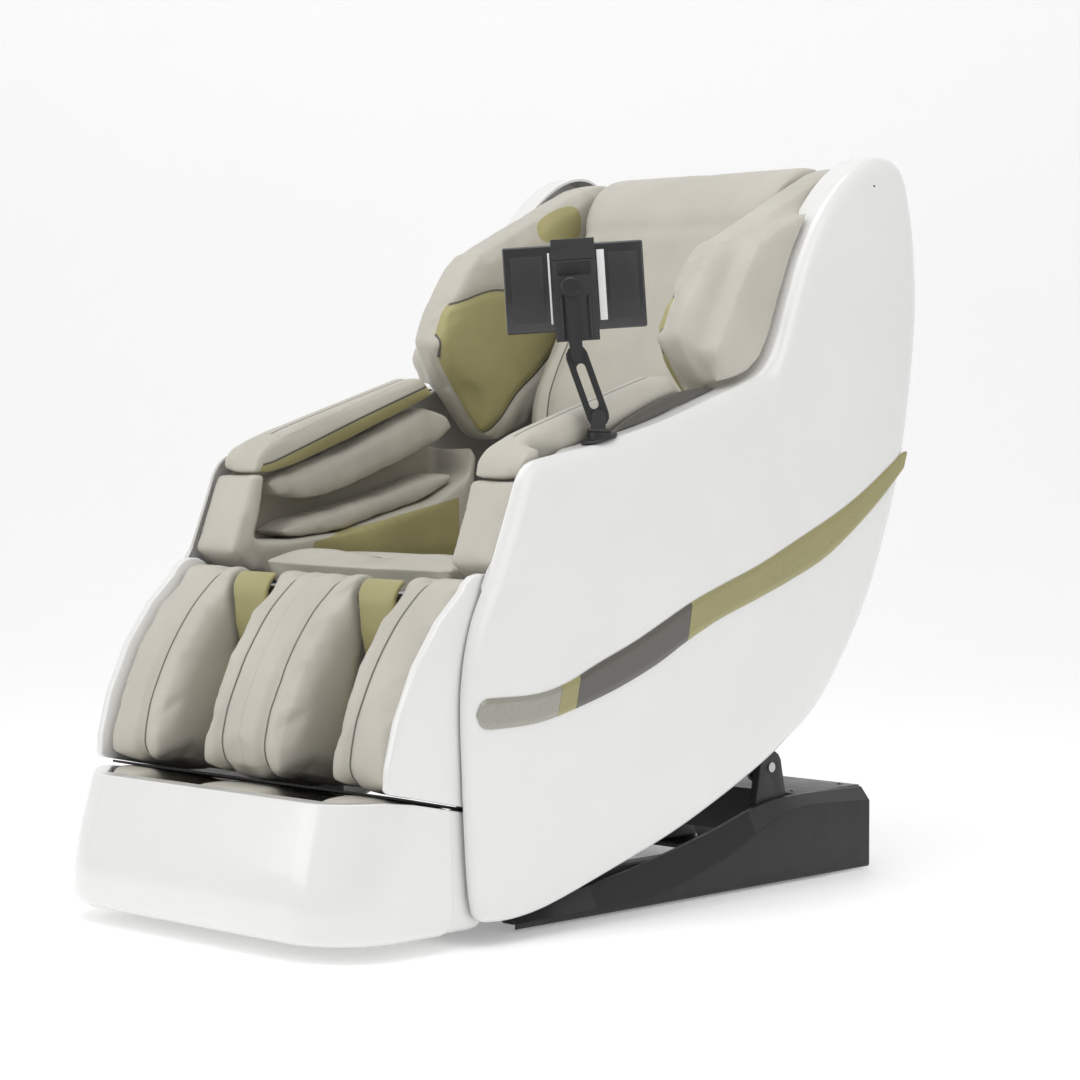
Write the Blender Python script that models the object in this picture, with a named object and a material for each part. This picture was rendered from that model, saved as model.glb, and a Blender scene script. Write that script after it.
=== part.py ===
"""Massage chair: a tilting cocoon on a low black sled base.

Metres, +Z up. The chair faces -Y and the sitter's left side is +X. The origin is
on the floor, under the middle of the chair. Every piece is its own object; the
moving groups hang from empties that stand on their joints' axes.
"""
import bpy
import bmesh
import math
from mathutils import Matrix, Vector

# ---------------------------------------------------------------- driving dimensions
TRAY_EDGE_X = 0.305          # inner rim of each side shell, along the arm, wing and back
FRONT_EDGE_X = 0.329         # inner rim beside the leg rest and under the belly
CORNER_EDGE_X = 0.332        # inner rim round the arm's front end
SHELL_X = 0.3545             # outer face of a side shell at the middle of the chair
SHELL_FLARE = 0.018          # how much the shells open towards the back, per metre
SHELL_WALL = 0.005
SHELL_ROUND = 0.016          # rounding of the shell's outer rim
INSIDE_X = 0.303             # everything between the shells stays inside this
SEAT_HALF = 0.222            # half width of the seat and back cushions
FRAME_X = 0.226              # inner face of the steel side plates
FRAME_T = 0.008
ARM_IN_X = 0.2365            # inner face of the arms
ARM_OUT_X = 0.338            # outer wall of the arm channel, inside the shell
ARM_CAP_X = 0.3305           # outer side of the arm's front end, beside the shell's rim
LEG_HALF = 0.325             # half width of the leg rest
LEG_WELL = 0.311             # half width between its cheeks
FOOT_TAIL_HALF = 0.3215      # half width of the foot unit between the shells

TILT_PIVOT = (0.375, 0.185)      # y, z of the recline axle
LEG_PIVOT = (-0.345, 0.485)      # y, z of the leg rest's tube
LEG_ROLL = 0.043                 # radius of the leg rest's top roll
CALF_DIR = (-0.415, -0.910)      # the way the foot unit slides out, down the calf
FOOT_ROLLER = (-0.470, 0.098)    # y, z of the foot rollers' axles
RAIL_LOW = (0.352, 0.470)        # front edge of the massage rails
RAIL_HIGH = (0.545, 1.045)
CARRIAGE_AT = 0.46               # where the carriage rests, as a part of the rail
HOLDER = (0.327, -0.105)         # x, y of the tablet arm's turntable

COLOURS = {
    "pearl_white": ((0.84, 0.83, 0.80), 0.22, 0.0),
    "warm_leather": ((0.62, 0.60, 0.55), 0.55, 0.0),
    "khaki_leather": ((0.40, 0.39, 0.17), 0.55, 0.0),
    "band_silver": ((0.55, 0.54, 0.50), 0.30, 0.4),
    "khaki_band": ((0.42, 0.40, 0.18), 0.35, 0.2),
    "black_plastic": ((0.03, 0.03, 0.032), 0.45, 0.0),
    "dark_plastic": ((0.08, 0.08, 0.085), 0.40, 0.0),
    "frame_steel": ((0.10, 0.10, 0.11), 0.50, 0.6),
    "bright_steel": ((0.60, 0.60, 0.60), 0.30, 1.0),
    "rubber": ((0.02, 0.02, 0.02), 0.80, 0.0),
    "grey_plastic": ((0.30, 0.30, 0.30), 0.50, 0.0),
    "glass_black": ((0.01, 0.01, 0.012), 0.10, 0.0),
}

# Side outline of a shell, y and z, from its front foot up the front edge, along the
# arm, up the wing, over the top and back under the belly.
SHELL_OUTLINE = [
    (-0.340, 0.0345), (-0.362, 0.040), (-0.374, 0.060), (-0.382, 0.120), (-0.389, 0.240),
    (-0.392, 0.360), (-0.375, 0.450), (-0.335, 0.540), (-0.300, 0.625), (-0.286, 0.660),
    (-0.266, 0.681), (-0.235, 0.689), (-0.208, 0.6935), (-0.160, 0.7015), (-0.120, 0.709), (0.010, 0.739), (0.130, 0.776),
    (0.220, 0.806), (0.255, 0.830), (0.277, 0.868), (0.302, 0.930), (0.333, 1.000),
    (0.380, 1.070), (0.440, 1.127), (0.500, 1.157), (0.550, 1.160), (0.584, 1.140),
    (0.604, 1.090), (0.618, 1.010), (0.621, 0.890), (0.594, 0.710), (0.555, 0.580),
    (0.490, 0.438), (0.390, 0.305), (0.300, 0.240), (0.200, 0.188), (0.050, 0.126),
    (-0.100, 0.079), (-0.220, 0.045), (-0.290, 0.034),
]


# ---------------------------------------------------------------- scene and materials
def clear_scene():
    for obj in list(bpy.data.objects):
        bpy.data.objects.remove(obj, do_unlink=True)


def make_material(name):
    colour, roughness, metallic = COLOURS[name]
    mat = bpy.data.materials.new(name)
    mat.use_nodes = True
    shader = mat.node_tree.nodes["Principled BSDF"]
    shader.inputs["Base Color"].default_value = (*colour, 1.0)
    shader.inputs["Roughness"].default_value = roughness
    shader.inputs["Metallic"].default_value = metallic
    return mat


MATERIALS = {}
PIVOTS = {}


def pivot(name, x, y, z, parent=None):
    """An empty on a joint's axis; the pieces of that moving group hang from it."""
    empty = bpy.data.objects.new("pivot_" + name, None)
    bpy.context.scene.collection.objects.link(empty)
    here = Vector((x, y, z))
    if parent:
        empty.parent = PIVOTS[parent][0]
        empty.location = here - PIVOTS[parent][1]
    else:
        empty.location = here
    PIVOTS[name] = (empty, here)


def add_piece(name, bm, mat, group, smooth_angle=35):
    """Turns a bmesh in chair coordinates into an object of one moving group."""
    if mat not in MATERIALS:
        MATERIALS[mat] = make_material(mat)
    empty, here = PIVOTS[group]
    bmesh.ops.translate(bm, verts=bm.verts, vec=-here)
    bmesh.ops.recalc_face_normals(bm, faces=bm.faces)
    mesh = bpy.data.meshes.new(name)
    bm.to_mesh(mesh)
    bm.free()
    mesh.materials.append(MATERIALS[mat])
    mesh.shade_smooth()
    mesh.set_sharp_from_angle(angle=math.radians(smooth_angle))
    obj = bpy.data.objects.new(name, mesh)
    bpy.context.scene.collection.objects.link(obj)
    obj.parent = empty
    return obj


def cut_with(obj, bm, group, operation="DIFFERENCE"):
    """A live Boolean with a hidden tool shape, given in chair coordinates."""
    empty, here = PIVOTS[group]
    bmesh.ops.translate(bm, verts=bm.verts, vec=-here)
    bmesh.ops.recalc_face_normals(bm, faces=bm.faces)
    mesh = bpy.data.meshes.new(obj.name + "_tool")
    bm.to_mesh(mesh)
    bm.free()
    tool = bpy.data.objects.new(obj.name + "_tool", mesh)
    bpy.context.scene.collection.objects.link(tool)
    tool.parent = empty
    tool.hide_render = True
    tool.display_type = "WIRE"
    mod = obj.modifiers.new("cut", "BOOLEAN")
    mod.operation = operation
    mod.solver = "EXACT"
    mod.object = tool
    return tool


# ---------------------------------------------------------------- shapes
def smooth_line(points, steps=2, closed=True):
    """A Catmull-Rom curve through the points, with a few steps in each span."""
    count = len(points)
    spans = count if closed else count - 1
    line = []
    for i in range(spans):
        if closed:
            p0, p1, p2, p3 = (points[(i + k - 1) % count] for k in range(4))
        else:
            p0, p1, p2, p3 = (points[min(max(i + k - 1, 0), count - 1)] for k in range(4))
        for step in range(steps):
            t = step / steps
            line.append(tuple(
                0.5 * (2 * b + (c - a) * t + (2 * a - 5 * b + 4 * c - d) * t * t
                       + (3 * b - a - 3 * c + d) * t ** 3)
                for a, b, c, d in zip(p0, p1, p2, p3)))
    if not closed:
        line.append(tuple(points[-1]))
    return line


def arc(centre, radius, start, end, steps):
    """Points on a circle, from one angle to another, in degrees."""
    points = []
    for step in range(steps + 1):
        angle = math.radians(start + (end - start) * step / steps)
        points.append((centre[0] + radius * math.cos(angle), centre[1] + radius * math.sin(angle)))
    return points


def prism(outline, x0, x1, bm=None):
    """A side outline (y, z) carried straight across from x0 to x1."""
    bm = bm or bmesh.new()
    near = [bm.verts.new((x0, y, z)) for y, z in outline]
    far = [bm.verts.new((x1, y, z)) for y, z in outline]
    bm.faces.new(near)
    bm.faces.new(list(reversed(far)))
    for i in range(len(outline)):
        j = (i + 1) % len(outline)
        bm.faces.new((near[j], near[i], far[i], far[j]))
    return bm


def box(x0, x1, y0, y1, z0, z1, bm=None):
    return prism([(y0, z0), (y1, z0), (y1, z1), (y0, z1)], x0, x1, bm)


def rounded_box(x0, x1, y0, y1, z0, z1, radius, segments=2):
    bm = box(x0, x1, y0, y1, z0, z1)
    bmesh.ops.bevel(bm, geom=list(bm.edges), offset=radius, segments=segments,
                    profile=0.5, affect="EDGES")
    return bm


def turned(profile, centre, axis="X", sides=16):
    """A closed profile of (along, radius) pairs turned about an axis through centre."""
    bm = bmesh.new()
    rings = []
    for along, radius in profile:
        ring = []
        for i in range(sides):
            angle = 2 * math.pi * i / sides
            a, b = radius * math.cos(angle), radius * math.sin(angle)
            spot = {"X": (along, a, b), "Y": (a, along, b), "Z": (a, b, along)}[axis]
            ring.append(bm.verts.new(Vector(centre) + Vector(spot)))
        rings.append(ring)
    for k in range(len(rings) - 1):
        for i in range(sides):
            j = (i + 1) % sides
            bm.faces.new((rings[k][i], rings[k][j], rings[k + 1][j], rings[k + 1][i]))
    bm.faces.new(list(reversed(rings[0])))
    bm.faces.new(rings[-1])
    return bm


def rod(centre, axis, radius, half_length, sides=16):
    return turned([(-half_length, radius), (half_length, radius)], centre, axis, sides)


def bent_sheet(line, thickness, x0, x1):
    """A sheet of even thickness that follows a line (y, z)."""
    left, right = [], []
    for i, (y, z) in enumerate(line):
        before = line[max(i - 1, 0)]
        after = line[min(i + 1, len(line) - 1)]
        run = Vector((after[0] - before[0], after[1] - before[1])).normalized()
        side = Vector((-run.y, run.x)) * thickness / 2
        left.append((y + side.x, z + side.y))
        right.append((y - side.x, z - side.y))
    return prism(left + list(reversed(right)), x0, x1)


def mirror_x(bm):
    bmesh.ops.scale(bm, vec=(-1, 1, 1), verts=bm.verts)
    return bm


def both_sides(name, build, mat, group):
    """Builds a left piece (+X) and its mirrored right twin."""
    made = []
    for side, flip in (("left", False), ("right", True)):
        bm = build()
        if flip:
            mirror_x(bm)
        made.append(add_piece(name + "_" + side, bm, mat, group))
    return made


# ---------------------------------------------------------------- side shells
def shell_face_x(y):
    return SHELL_X + SHELL_FLARE * y


def outline_normals(line):
    """Unit normals that point out of a closed outline."""
    normals = []
    area = sum(line[i - 1][0] * line[i][1] - line[i][0] * line[i - 1][1] for i in range(len(line)))
    turn = 1 if area > 0 else -1
    for i in range(len(line)):
        here = Vector(line[i])
        before = (here - Vector(line[i - 1])).normalized()
        after = (Vector(line[(i + 1) % len(line)]) - here).normalized()
        run = (before + after).normalized()
        normals.append(Vector((run.y, -run.x)) * turn)
    return normals


def ease(value, start, end):
    part = min(max((value - start) / (end - start), 0.0), 1.0)
    return part * part * (3 - 2 * part)


def rim_edge_x(y, z):
    """How far the rim turns inwards: a little at the front, more along arm, wing and back."""
    front = FRONT_EDGE_X + (CORNER_EDGE_X - FRONT_EDGE_X) * ease(z, 0.46, 0.52)
    along = ease(y, -0.215, -0.155) if z > 0.60 else ease(y, 0.10, 0.28)
    return front + (TRAY_EDGE_X - front) * along


def side_shell():
    """A moulded tray: a flared outer face with a rounded rim that turns inwards."""
    line = smooth_line(SHELL_OUTLINE, 2)
    normals = outline_normals(line)
    bm = bmesh.new()

    def ring(inset, drop):
        verts = []
        for (y, z), n in zip(line, normals):
            py, pz = y - n.x * inset, z - n.y * inset
            x = rim_edge_x(y, z) if drop is None else shell_face_x(py) - drop
            verts.append(bm.verts.new((x, py, pz)))
        return verts

    def rim_steps(base_inset, radius, sink):
        return [(base_inset + radius * (1 - math.cos(math.radians(a))),
                 sink + radius * (1 - math.sin(math.radians(a)))) for a in (0, 30, 60, 90)]

    outer = [ring(0, None)] + [ring(*step) for step in rim_steps(0, SHELL_ROUND, 0)]
    inner_round = SHELL_ROUND - SHELL_WALL
    inner = [ring(SHELL_WALL, None)]
    inner += [ring(*step) for step in rim_steps(SHELL_WALL, inner_round, SHELL_WALL)]
    count = len(line)
    chain = list(reversed(outer)) + inner
    for a, b in zip(chain, chain[1:]):
        for i in range(count):
            j = (i + 1) % count
            bm.faces.new((a[i], a[j], b[j], b[i]))
    bm.faces.new(outer[-1])
    bm.faces.new(list(reversed(inner[-1])))
    return bm


def trim_strip(outline):
    """A thin strip that lies on the shell's flared face."""
    bm = prism(outline, 0.0, 1.0)
    for vert in bm.verts:
        lift = 0.0004 if vert.co.x < 0.5 else 0.0022
        vert.co.x = shell_face_x(vert.co.y) + lift
    return bm


BAND_LOW = [(-0.352, 0.309), (-0.268, 0.311), (-0.196, 0.324), (-0.100, 0.349), (-0.012, 0.380),
            (0.048, 0.409)]
BAND_HIGH = [(0.056, 0.466), (-0.051, 0.421), (-0.138, 0.390), (-0.201, 0.366), (-0.264, 0.354),
             (-0.352, 0.354)]
ACCENT_LOW = [(0.052, 0.411), (0.130, 0.444), (0.218, 0.468), (0.390, 0.531), (0.500, 0.600),
              (0.560, 0.650)]
ACCENT_HIGH = [(0.564, 0.678), (0.490, 0.637), (0.415, 0.599), (0.222, 0.521), (0.060, 0.468)]


def build_shells():
    both_sides("side_shell", side_shell, "pearl_white", "cocoon")
    nose = arc((-0.352, 0.3315), 0.0225, 90, 270, 6)[1:-1]
    band = BAND_LOW + BAND_HIGH + nose
    both_sides("shell_band", lambda: trim_strip(band), "band_silver", "cocoon")
    accent = ACCENT_LOW + ACCENT_HIGH
    both_sides("shell_accent", lambda: trim_strip(accent), "khaki_band", "cocoon")


# ---------------------------------------------------------------- arms and wings
ARM_BLOCK = [(-0.318, 0.530), (-0.302, 0.585), (-0.289, 0.628), (-0.278, 0.6555), (-0.258, 0.657),
             (-0.240, 0.672), (-0.120, 0.693), (0.010, 0.723), (0.085, 0.745), (0.125, 0.735), (0.190, 0.698),
             (0.205, 0.680), (0.205, 0.505), (-0.285, 0.505)]
ARM_FRONT = [(-0.316, 0.530), (-0.3305, 0.538), (-0.310, 0.590), (-0.2955, 0.625), (-0.285, 0.652),
             (-0.278, 0.6575), (-0.260, 0.6575), (-0.276, 0.600), (-0.290, 0.540)]
CHANNEL_FLOOR = [(-0.283, 0.556), (-0.195, 0.552), (-0.089, 0.560), (0.111, 0.608), (0.190, 0.650)]
CROWN_FRONT = [(-0.2785, 0.6665), (-0.2735, 0.6835), (-0.260, 0.6975), (-0.240, 0.7045),
               (-0.226, 0.7045), (-0.226, 0.668), (-0.240, 0.6635)]
ARM_TOP = [(-0.282, 0.664), (-0.273, 0.688), (-0.255, 0.704), (-0.213, 0.722), (-0.098, 0.757),
           (0.034, 0.797), (0.080, 0.812), (0.112, 0.781), (0.089, 0.773), (-0.067, 0.714),
           (-0.194, 0.671), (-0.240, 0.660)]
UPPER_AIRBAG = [(-0.248, 0.638), (-0.225, 0.619), (-0.160, 0.612), (-0.092, 0.622),
                (0.030, 0.662), (0.130, 0.700), (0.168, 0.725), (0.155, 0.748), (0.100, 0.766),
                (0.000, 0.731), (-0.067, 0.706), (-0.190, 0.665), (-0.236, 0.652)]
LOWER_AIRBAG = [(-0.222, 0.566), (-0.200, 0.5555), (-0.089, 0.5635), (0.108, 0.6115),
                (0.168, 0.643), (0.158, 0.658), (0.120, 0.650), (0.030, 0.622), (-0.092, 0.597),
                (-0.165, 0.584), (-0.210, 0.577)]
WING_INNER = [(0.222, 0.704), (0.212, 0.713), (0.152, 0.776), (0.120, 0.825), (0.102, 0.866),
              (0.125, 0.920), (0.170, 0.992), (0.200, 1.022), (0.275, 1.056), (0.350, 1.090),
              (0.411, 1.117), (0.470, 1.141), (0.520, 1.151), (0.552, 1.146), (0.560, 1.110), (0.505, 0.980), (0.470, 0.870),
              (0.420, 0.780), (0.330, 0.720), (0.260, 0.695)]
WING_OUTER = [(0.150, 0.789), (0.218, 0.811), (0.250, 0.835), (0.272, 0.870), (0.297, 0.932),
              (0.328, 1.003), (0.374, 1.074), (0.335, 1.060), (0.290, 1.042), (0.241, 1.019),
              (0.218, 0.985), (0.159, 0.874), (0.140, 0.842)]


def arm_block():
    return prism(ARM_BLOCK, ARM_IN_X, ARM_OUT_X)


def arm_channel():
    """The space that the forearm lies in, open towards the sitter and under the pad."""
    over = [(0.190, 0.82), (-0.256, 0.82), (-0.256, 0.657), (-0.268, 0.600)]
    return prism(CHANNEL_FLOOR + over, ARM_IN_X - 0.02, ARM_OUT_X - 0.008)


def build_arms():
    blocks = both_sides("arm_body", arm_block, "warm_leather", "cocoon")
    cut_with(blocks[0], arm_channel(), "cocoon")
    cut_with(blocks[1], mirror_x(arm_channel()), "cocoon")
    cut_with(blocks[0], prism(ARM_FRONT, ARM_IN_X, ARM_CAP_X), "cocoon", "UNION")
    cut_with(blocks[1], mirror_x(prism(ARM_FRONT, ARM_IN_X, ARM_CAP_X)), "cocoon", "UNION")
    crown = lambda: prism(ARM_TOP, ARM_IN_X, INSIDE_X)
    crowns = both_sides("arm_top_pad", crown, "warm_leather", "cocoon")
    crown_side = ARM_CAP_X - 0.0015
    cut_with(crowns[0], prism(CROWN_FRONT, INSIDE_X - 0.02, crown_side), "cocoon", "UNION")
    cut_with(crowns[1], mirror_x(prism(CROWN_FRONT, INSIDE_X - 0.02, crown_side)), "cocoon", "UNION")
    both_sides("arm_airbag_upper", lambda: prism(UPPER_AIRBAG, 0.246, 0.301), "warm_leather", "cocoon")
    both_sides("arm_airbag_lower", lambda: prism(LOWER_AIRBAG, 0.246, 0.326), "warm_leather", "cocoon")


def build_wings():
    """The shoulder pads: a deep inner part and a lip that stands before the shell's edge."""
    pads = both_sides("shoulder_pad", lambda: prism(WING_INNER, ARM_IN_X, INSIDE_X),
                      "khaki_leather", "cocoon")
    lip_start = INSIDE_X - 0.02
    cut_with(pads[0], prism(WING_OUTER, lip_start, ARM_OUT_X), "cocoon", "UNION")
    cut_with(pads[1], mirror_x(prism(WING_OUTER, lip_start, ARM_OUT_X)), "cocoon", "UNION")


# ---------------------------------------------------------------- seat, back, steel frame
SEAT_SHAPE = [(-0.254, 0.404), (-0.262, 0.450), (-0.279, 0.485), (-0.294, 0.510),
              (-0.306, 0.530), (-0.302, 0.538), (-0.285, 0.541), (-0.200, 0.531),
              (-0.050, 0.508), (0.120, 0.494), (0.230, 0.496), (0.250, 0.482), (0.254, 0.460),
              (0.254, 0.404)]
BACK_SHAPE = [(0.262, 0.505), (0.268, 0.600), (0.278, 0.693), (0.290, 0.783), (0.345, 0.884),
              (0.390, 0.980), (0.414, 1.050), (0.446, 1.108), (0.486, 1.143), (0.526, 1.157), (0.560, 1.156),
              (0.580, 1.136), (0.572, 1.095), (0.545, 1.080), (0.500, 1.062), (0.465, 1.020),
              (0.435, 0.960), (0.385, 0.865), (0.335, 0.775), (0.325, 0.693), (0.318, 0.600),
              (0.312, 0.505)]
REAR_LINE = [(0.588, 1.112), (0.597, 1.070), (0.607, 1.005), (0.609, 0.890), (0.582, 0.713),
             (0.543, 0.585), (0.479, 0.446), (0.381, 0.316), (0.318, 0.268)]
SIDE_PLATE = [(-0.160, 0.0625), (-0.165, 0.200), (-0.255, 0.380), (-0.257, 0.500),
              (-0.200, 0.538), (0.200, 0.538), (0.290, 0.560), (0.352, 0.660), (0.405, 0.820),
              (0.470, 1.010), (0.505, 1.045), (0.590, 1.045), (0.590, 0.985), (0.525, 0.860),
              (0.470, 0.700), (0.440, 0.550), (0.420, 0.420), (0.405, 0.300), (0.402, 0.190)]


def side_plate():
    lug = arc(TILT_PIVOT, 0.027, 0, -180, 8)
    behind = [(0.330, 0.300), (0.280, 0.360), (-0.080, 0.360), (-0.110, 0.200), (-0.105, 0.0625)]
    return prism(SIDE_PLATE + lug + behind, FRAME_X, FRAME_X + FRAME_T)


def axle_hole(y, z, radius, x0, x1):
    return rod(((x0 + x1) / 2, y, z), "X", radius, abs(x1 - x0) / 2 + 0.01)


def build_frame():
    plates = both_sides("side_plate", side_plate, "frame_steel", "cocoon")
    for obj, sign in zip(plates, (1, -1)):
        hole = axle_hole(*TILT_PIVOT, 0.0085, sign * FRAME_X, sign * (FRAME_X + FRAME_T))
        cut_with(obj, hole, "cocoon")
    inner = FRAME_X - 0.0005
    pan_line = [(-0.255, 0.396), (0.270, 0.396), (0.312, 0.440), (0.380, 0.4585)]
    pan = add_piece("seat_pan", bent_sheet(pan_line, 0.004, -inner, inner), "frame_steel", "cocoon")
    lug = [(-0.205, 0.397), (-0.205, 0.376), (-0.252, 0.374)]
    lug += arc(LEG_PIVOT, 0.019, -120, -330, 8)
    lug += [(-0.283, 0.446), (-0.268, 0.397)]
    for sign in (1, -1):
        cut_with(pan, prism(lug, sign * 0.131, sign * 0.141), "cocoon", "UNION")
        cut_with(pan, axle_hole(*LEG_PIVOT, 0.0115, sign * 0.125, sign * 0.147), "cocoon")
    tie = turned([(-inner, 0.010), (inner, 0.010)], (0, 0.573, 1.012), "X", 12)
    add_piece("back_tie_bar", tie, "frame_steel", "cocoon")
    rail = [RAIL_LOW, RAIL_HIGH, (RAIL_HIGH[0] + 0.022, RAIL_HIGH[1] - 0.006),
            (RAIL_LOW[0] + 0.022, RAIL_LOW[1] - 0.006)]
    both_sides("massage_rail", lambda: prism(rail, 0.092, 0.104), "bright_steel", "cocoon")
    rear = bent_sheet(smooth_line(REAR_LINE, 2, closed=False), 0.004, -INSIDE_X, INSIDE_X)
    cover = add_piece("rear_cover", rear, "pearl_white", "cocoon")
    for sign in (1, -1):
        cut_with(cover, box(sign * 0.221, sign * 0.239, 0.25, 0.46, 0.20, 0.385), "cocoon")


def build_cushions():
    seat = prism(SEAT_SHAPE, -SEAT_HALF, SEAT_HALF)
    add_piece("seat_cushion", seat, "warm_leather", "cocoon")
    back = prism(smooth_line(BACK_SHAPE, 2), -SEAT_HALF, SEAT_HALF)
    add_piece("back_cushion", back, "warm_leather", "cocoon")


# ---------------------------------------------------------------- massage mechanism
def rail_frame(part):
    """A point on the rails' front edge, the run up the rails and the way forward."""
    low, high = Vector(RAIL_LOW), Vector(RAIL_HIGH)
    run = (high - low).normalized()
    forward = Vector((-run.y, run.x))
    return low.lerp(high, part), run, forward


def on_rail(along, out):
    here, run, forward = rail_frame(CARRIAGE_AT)
    spot = here + run * along + forward * out
    return (spot.x, spot.y)


def rail_polygon(corners):
    return [on_rail(along, out) for along, out in corners]


def build_mechanism():
    plate = rail_polygon([(-0.055, -0.018), (0.055, -0.018), (0.055, 0.004), (0.012, 0.010),
                          (0.012, 0.026), (-0.012, 0.026), (-0.012, 0.010), (-0.055, 0.004)])
    carriage = add_piece("massage_carriage", prism(plate, -0.0905, 0.0905), "frame_steel", "carriage")
    gap = rail_polygon([(-0.020, 0.008), (0.020, 0.008), (0.020, 0.040), (-0.020, 0.040)])
    for sign in (1, -1):
        cut_with(carriage, prism(gap, sign * 0.028, sign * 0.064), "carriage")
    shaft_y, shaft_z = on_rail(0.0, 0.018)
    for sign in (1, -1):
        cut_with(carriage, axle_hole(shaft_y, shaft_z, 0.0045, 0.010 * sign, 0.105 * sign), "carriage")
    for sign, side in ((1, "left"), (-1, "right")):
        group = "head_" + side
        arm = rail_polygon([(-0.052, 0.030), (-0.058, 0.040), (-0.045, 0.048), (0.0, 0.036),
                            (0.045, 0.048), (0.058, 0.040), (0.052, 0.030), (0.011, 0.0125),
                            (-0.011, 0.0125)])
        piece = add_piece("roller_arm_" + side, prism(arm, sign * 0.040, sign * 0.052),
                          "dark_plastic", group)
        pin = rod((sign * 0.046, shaft_y, shaft_z), "X", 0.004, 0.030, 12)
        cut_with(piece, pin, group, "UNION")
        axle_y, axle_z = on_rail(0.047, 0.040)
        stub = rod((sign * 0.062, axle_y, axle_z), "X", 0.0035, 0.0155, 12)
        cut_with(piece, stub, group, "UNION")
        ball_y, ball_z = on_rail(0.047, 0.040)
        ball = turned([(-0.010, 0.004), (-0.010, 0.016), (0.000, 0.0215), (0.010, 0.016),
                       (0.010, 0.004)], (sign * 0.0655, ball_y, ball_z), "X", 16)
        bore_out(ball)
        add_piece("kneading_roller_" + side, ball, "rubber", "roller_" + side)


def bore_out(bm):
    """Joins the two small end rings into a through bore in place of the end caps."""
    caps = [face for face in bm.faces if len(face.verts) > 4]
    edges = [edge for face in caps for edge in face.edges]
    bmesh.ops.delete(bm, geom=caps, context="FACES_ONLY")
    bmesh.ops.bridge_loops(bm, edges=edges)


# ---------------------------------------------------------------- leg rest and foot unit
CALF_FRONT = [(-0.428, 0.463), (-0.472, 0.403), (-0.507, 0.329), (-0.524, 0.266),
              (-0.526, 0.236)]


def leg_outline(roll, front_back, low_gap, rear):
    """Side outline of a leg rest piece, rolled over the pivot at its top."""
    top = arc(LEG_PIVOT, roll, -20, 155, 9)
    front = [(y + front_back, z + front_back * 0.5) for y, z in CALF_FRONT]
    foot = [(-0.520, 0.231 + low_gap), (-0.350, 0.194 + low_gap)]
    return top + front + foot + rear


def build_leg_rest():
    rear = [(-0.336, 0.210), (-0.326, 0.300), (-0.308, 0.420)]
    shell = add_piece("leg_shell", prism(leg_outline(LEG_ROLL, 0.0, 0.0, rear), -LEG_HALF, LEG_HALF),
                      "pearl_white", "leg")
    hollow = [(-0.600, 0.600), (-0.250, 0.600), (-0.250, 0.425), (-0.316, 0.425), (-0.334, 0.300),
              (-0.344, 0.210), (-0.346, 0.150), (-0.600, 0.150)]
    cut_with(shell, prism(hollow, -LEG_WELL, LEG_WELL), "leg")
    tube = rod((0, *LEG_PIVOT), "X", 0.011, LEG_WELL - 0.0005)
    add_piece("leg_pivot_tube", tube, "bright_steel", "leg")
    pad_rear = [(-0.350, 0.215), (-0.340, 0.300), (-0.322, 0.410)]
    pad = leg_outline(LEG_ROLL - 0.003, 0.004, 0.004, pad_rear)
    outer = LEG_WELL - 0.0015
    spans = (("calf_pad_left", 0.188, outer), ("calf_pad_centre", -0.092, 0.092),
             ("calf_pad_right", -outer, -0.188))
    for name, x0, x1 in spans:
        piece = add_piece(name, prism(pad, x0, x1), "warm_leather", "leg")
        cut_with(piece, axle_hole(*LEG_PIVOT, 0.0125, x0, x1), "leg")


def foot_plan(half, front, radius, inset):
    """Plan outline (x, y) of the foot unit: round front corners, a narrower tail."""
    half, front = half - inset, front + inset
    back, tail_half, tail = -0.408 - inset, FOOT_TAIL_HALF - inset, -0.338 - inset
    left = arc((half - radius, front + radius), radius, -90, 0, 5)
    right = arc((-half + radius, front + radius), radius, 180, 270, 5)
    return left + [(half, back), (tail_half, back), (tail_half, tail),
                   (-tail_half, tail), (-tail_half, back), (-half, back)] + right


def upright(plan, z0, z1):
    """A plan outline (x, y) carried straight up from z0 to z1."""
    bm = bmesh.new()
    low = [bm.verts.new((x, y, z0)) for x, y in plan]
    high = [bm.verts.new((x, y, z1)) for x, y in plan]
    bm.faces.new(list(reversed(low)))
    bm.faces.new(high)
    for i in range(len(plan)):
        j = (i + 1) % len(plan)
        bm.faces.new((low[i], low[j], high[j], high[i]))
    return bm


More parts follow.
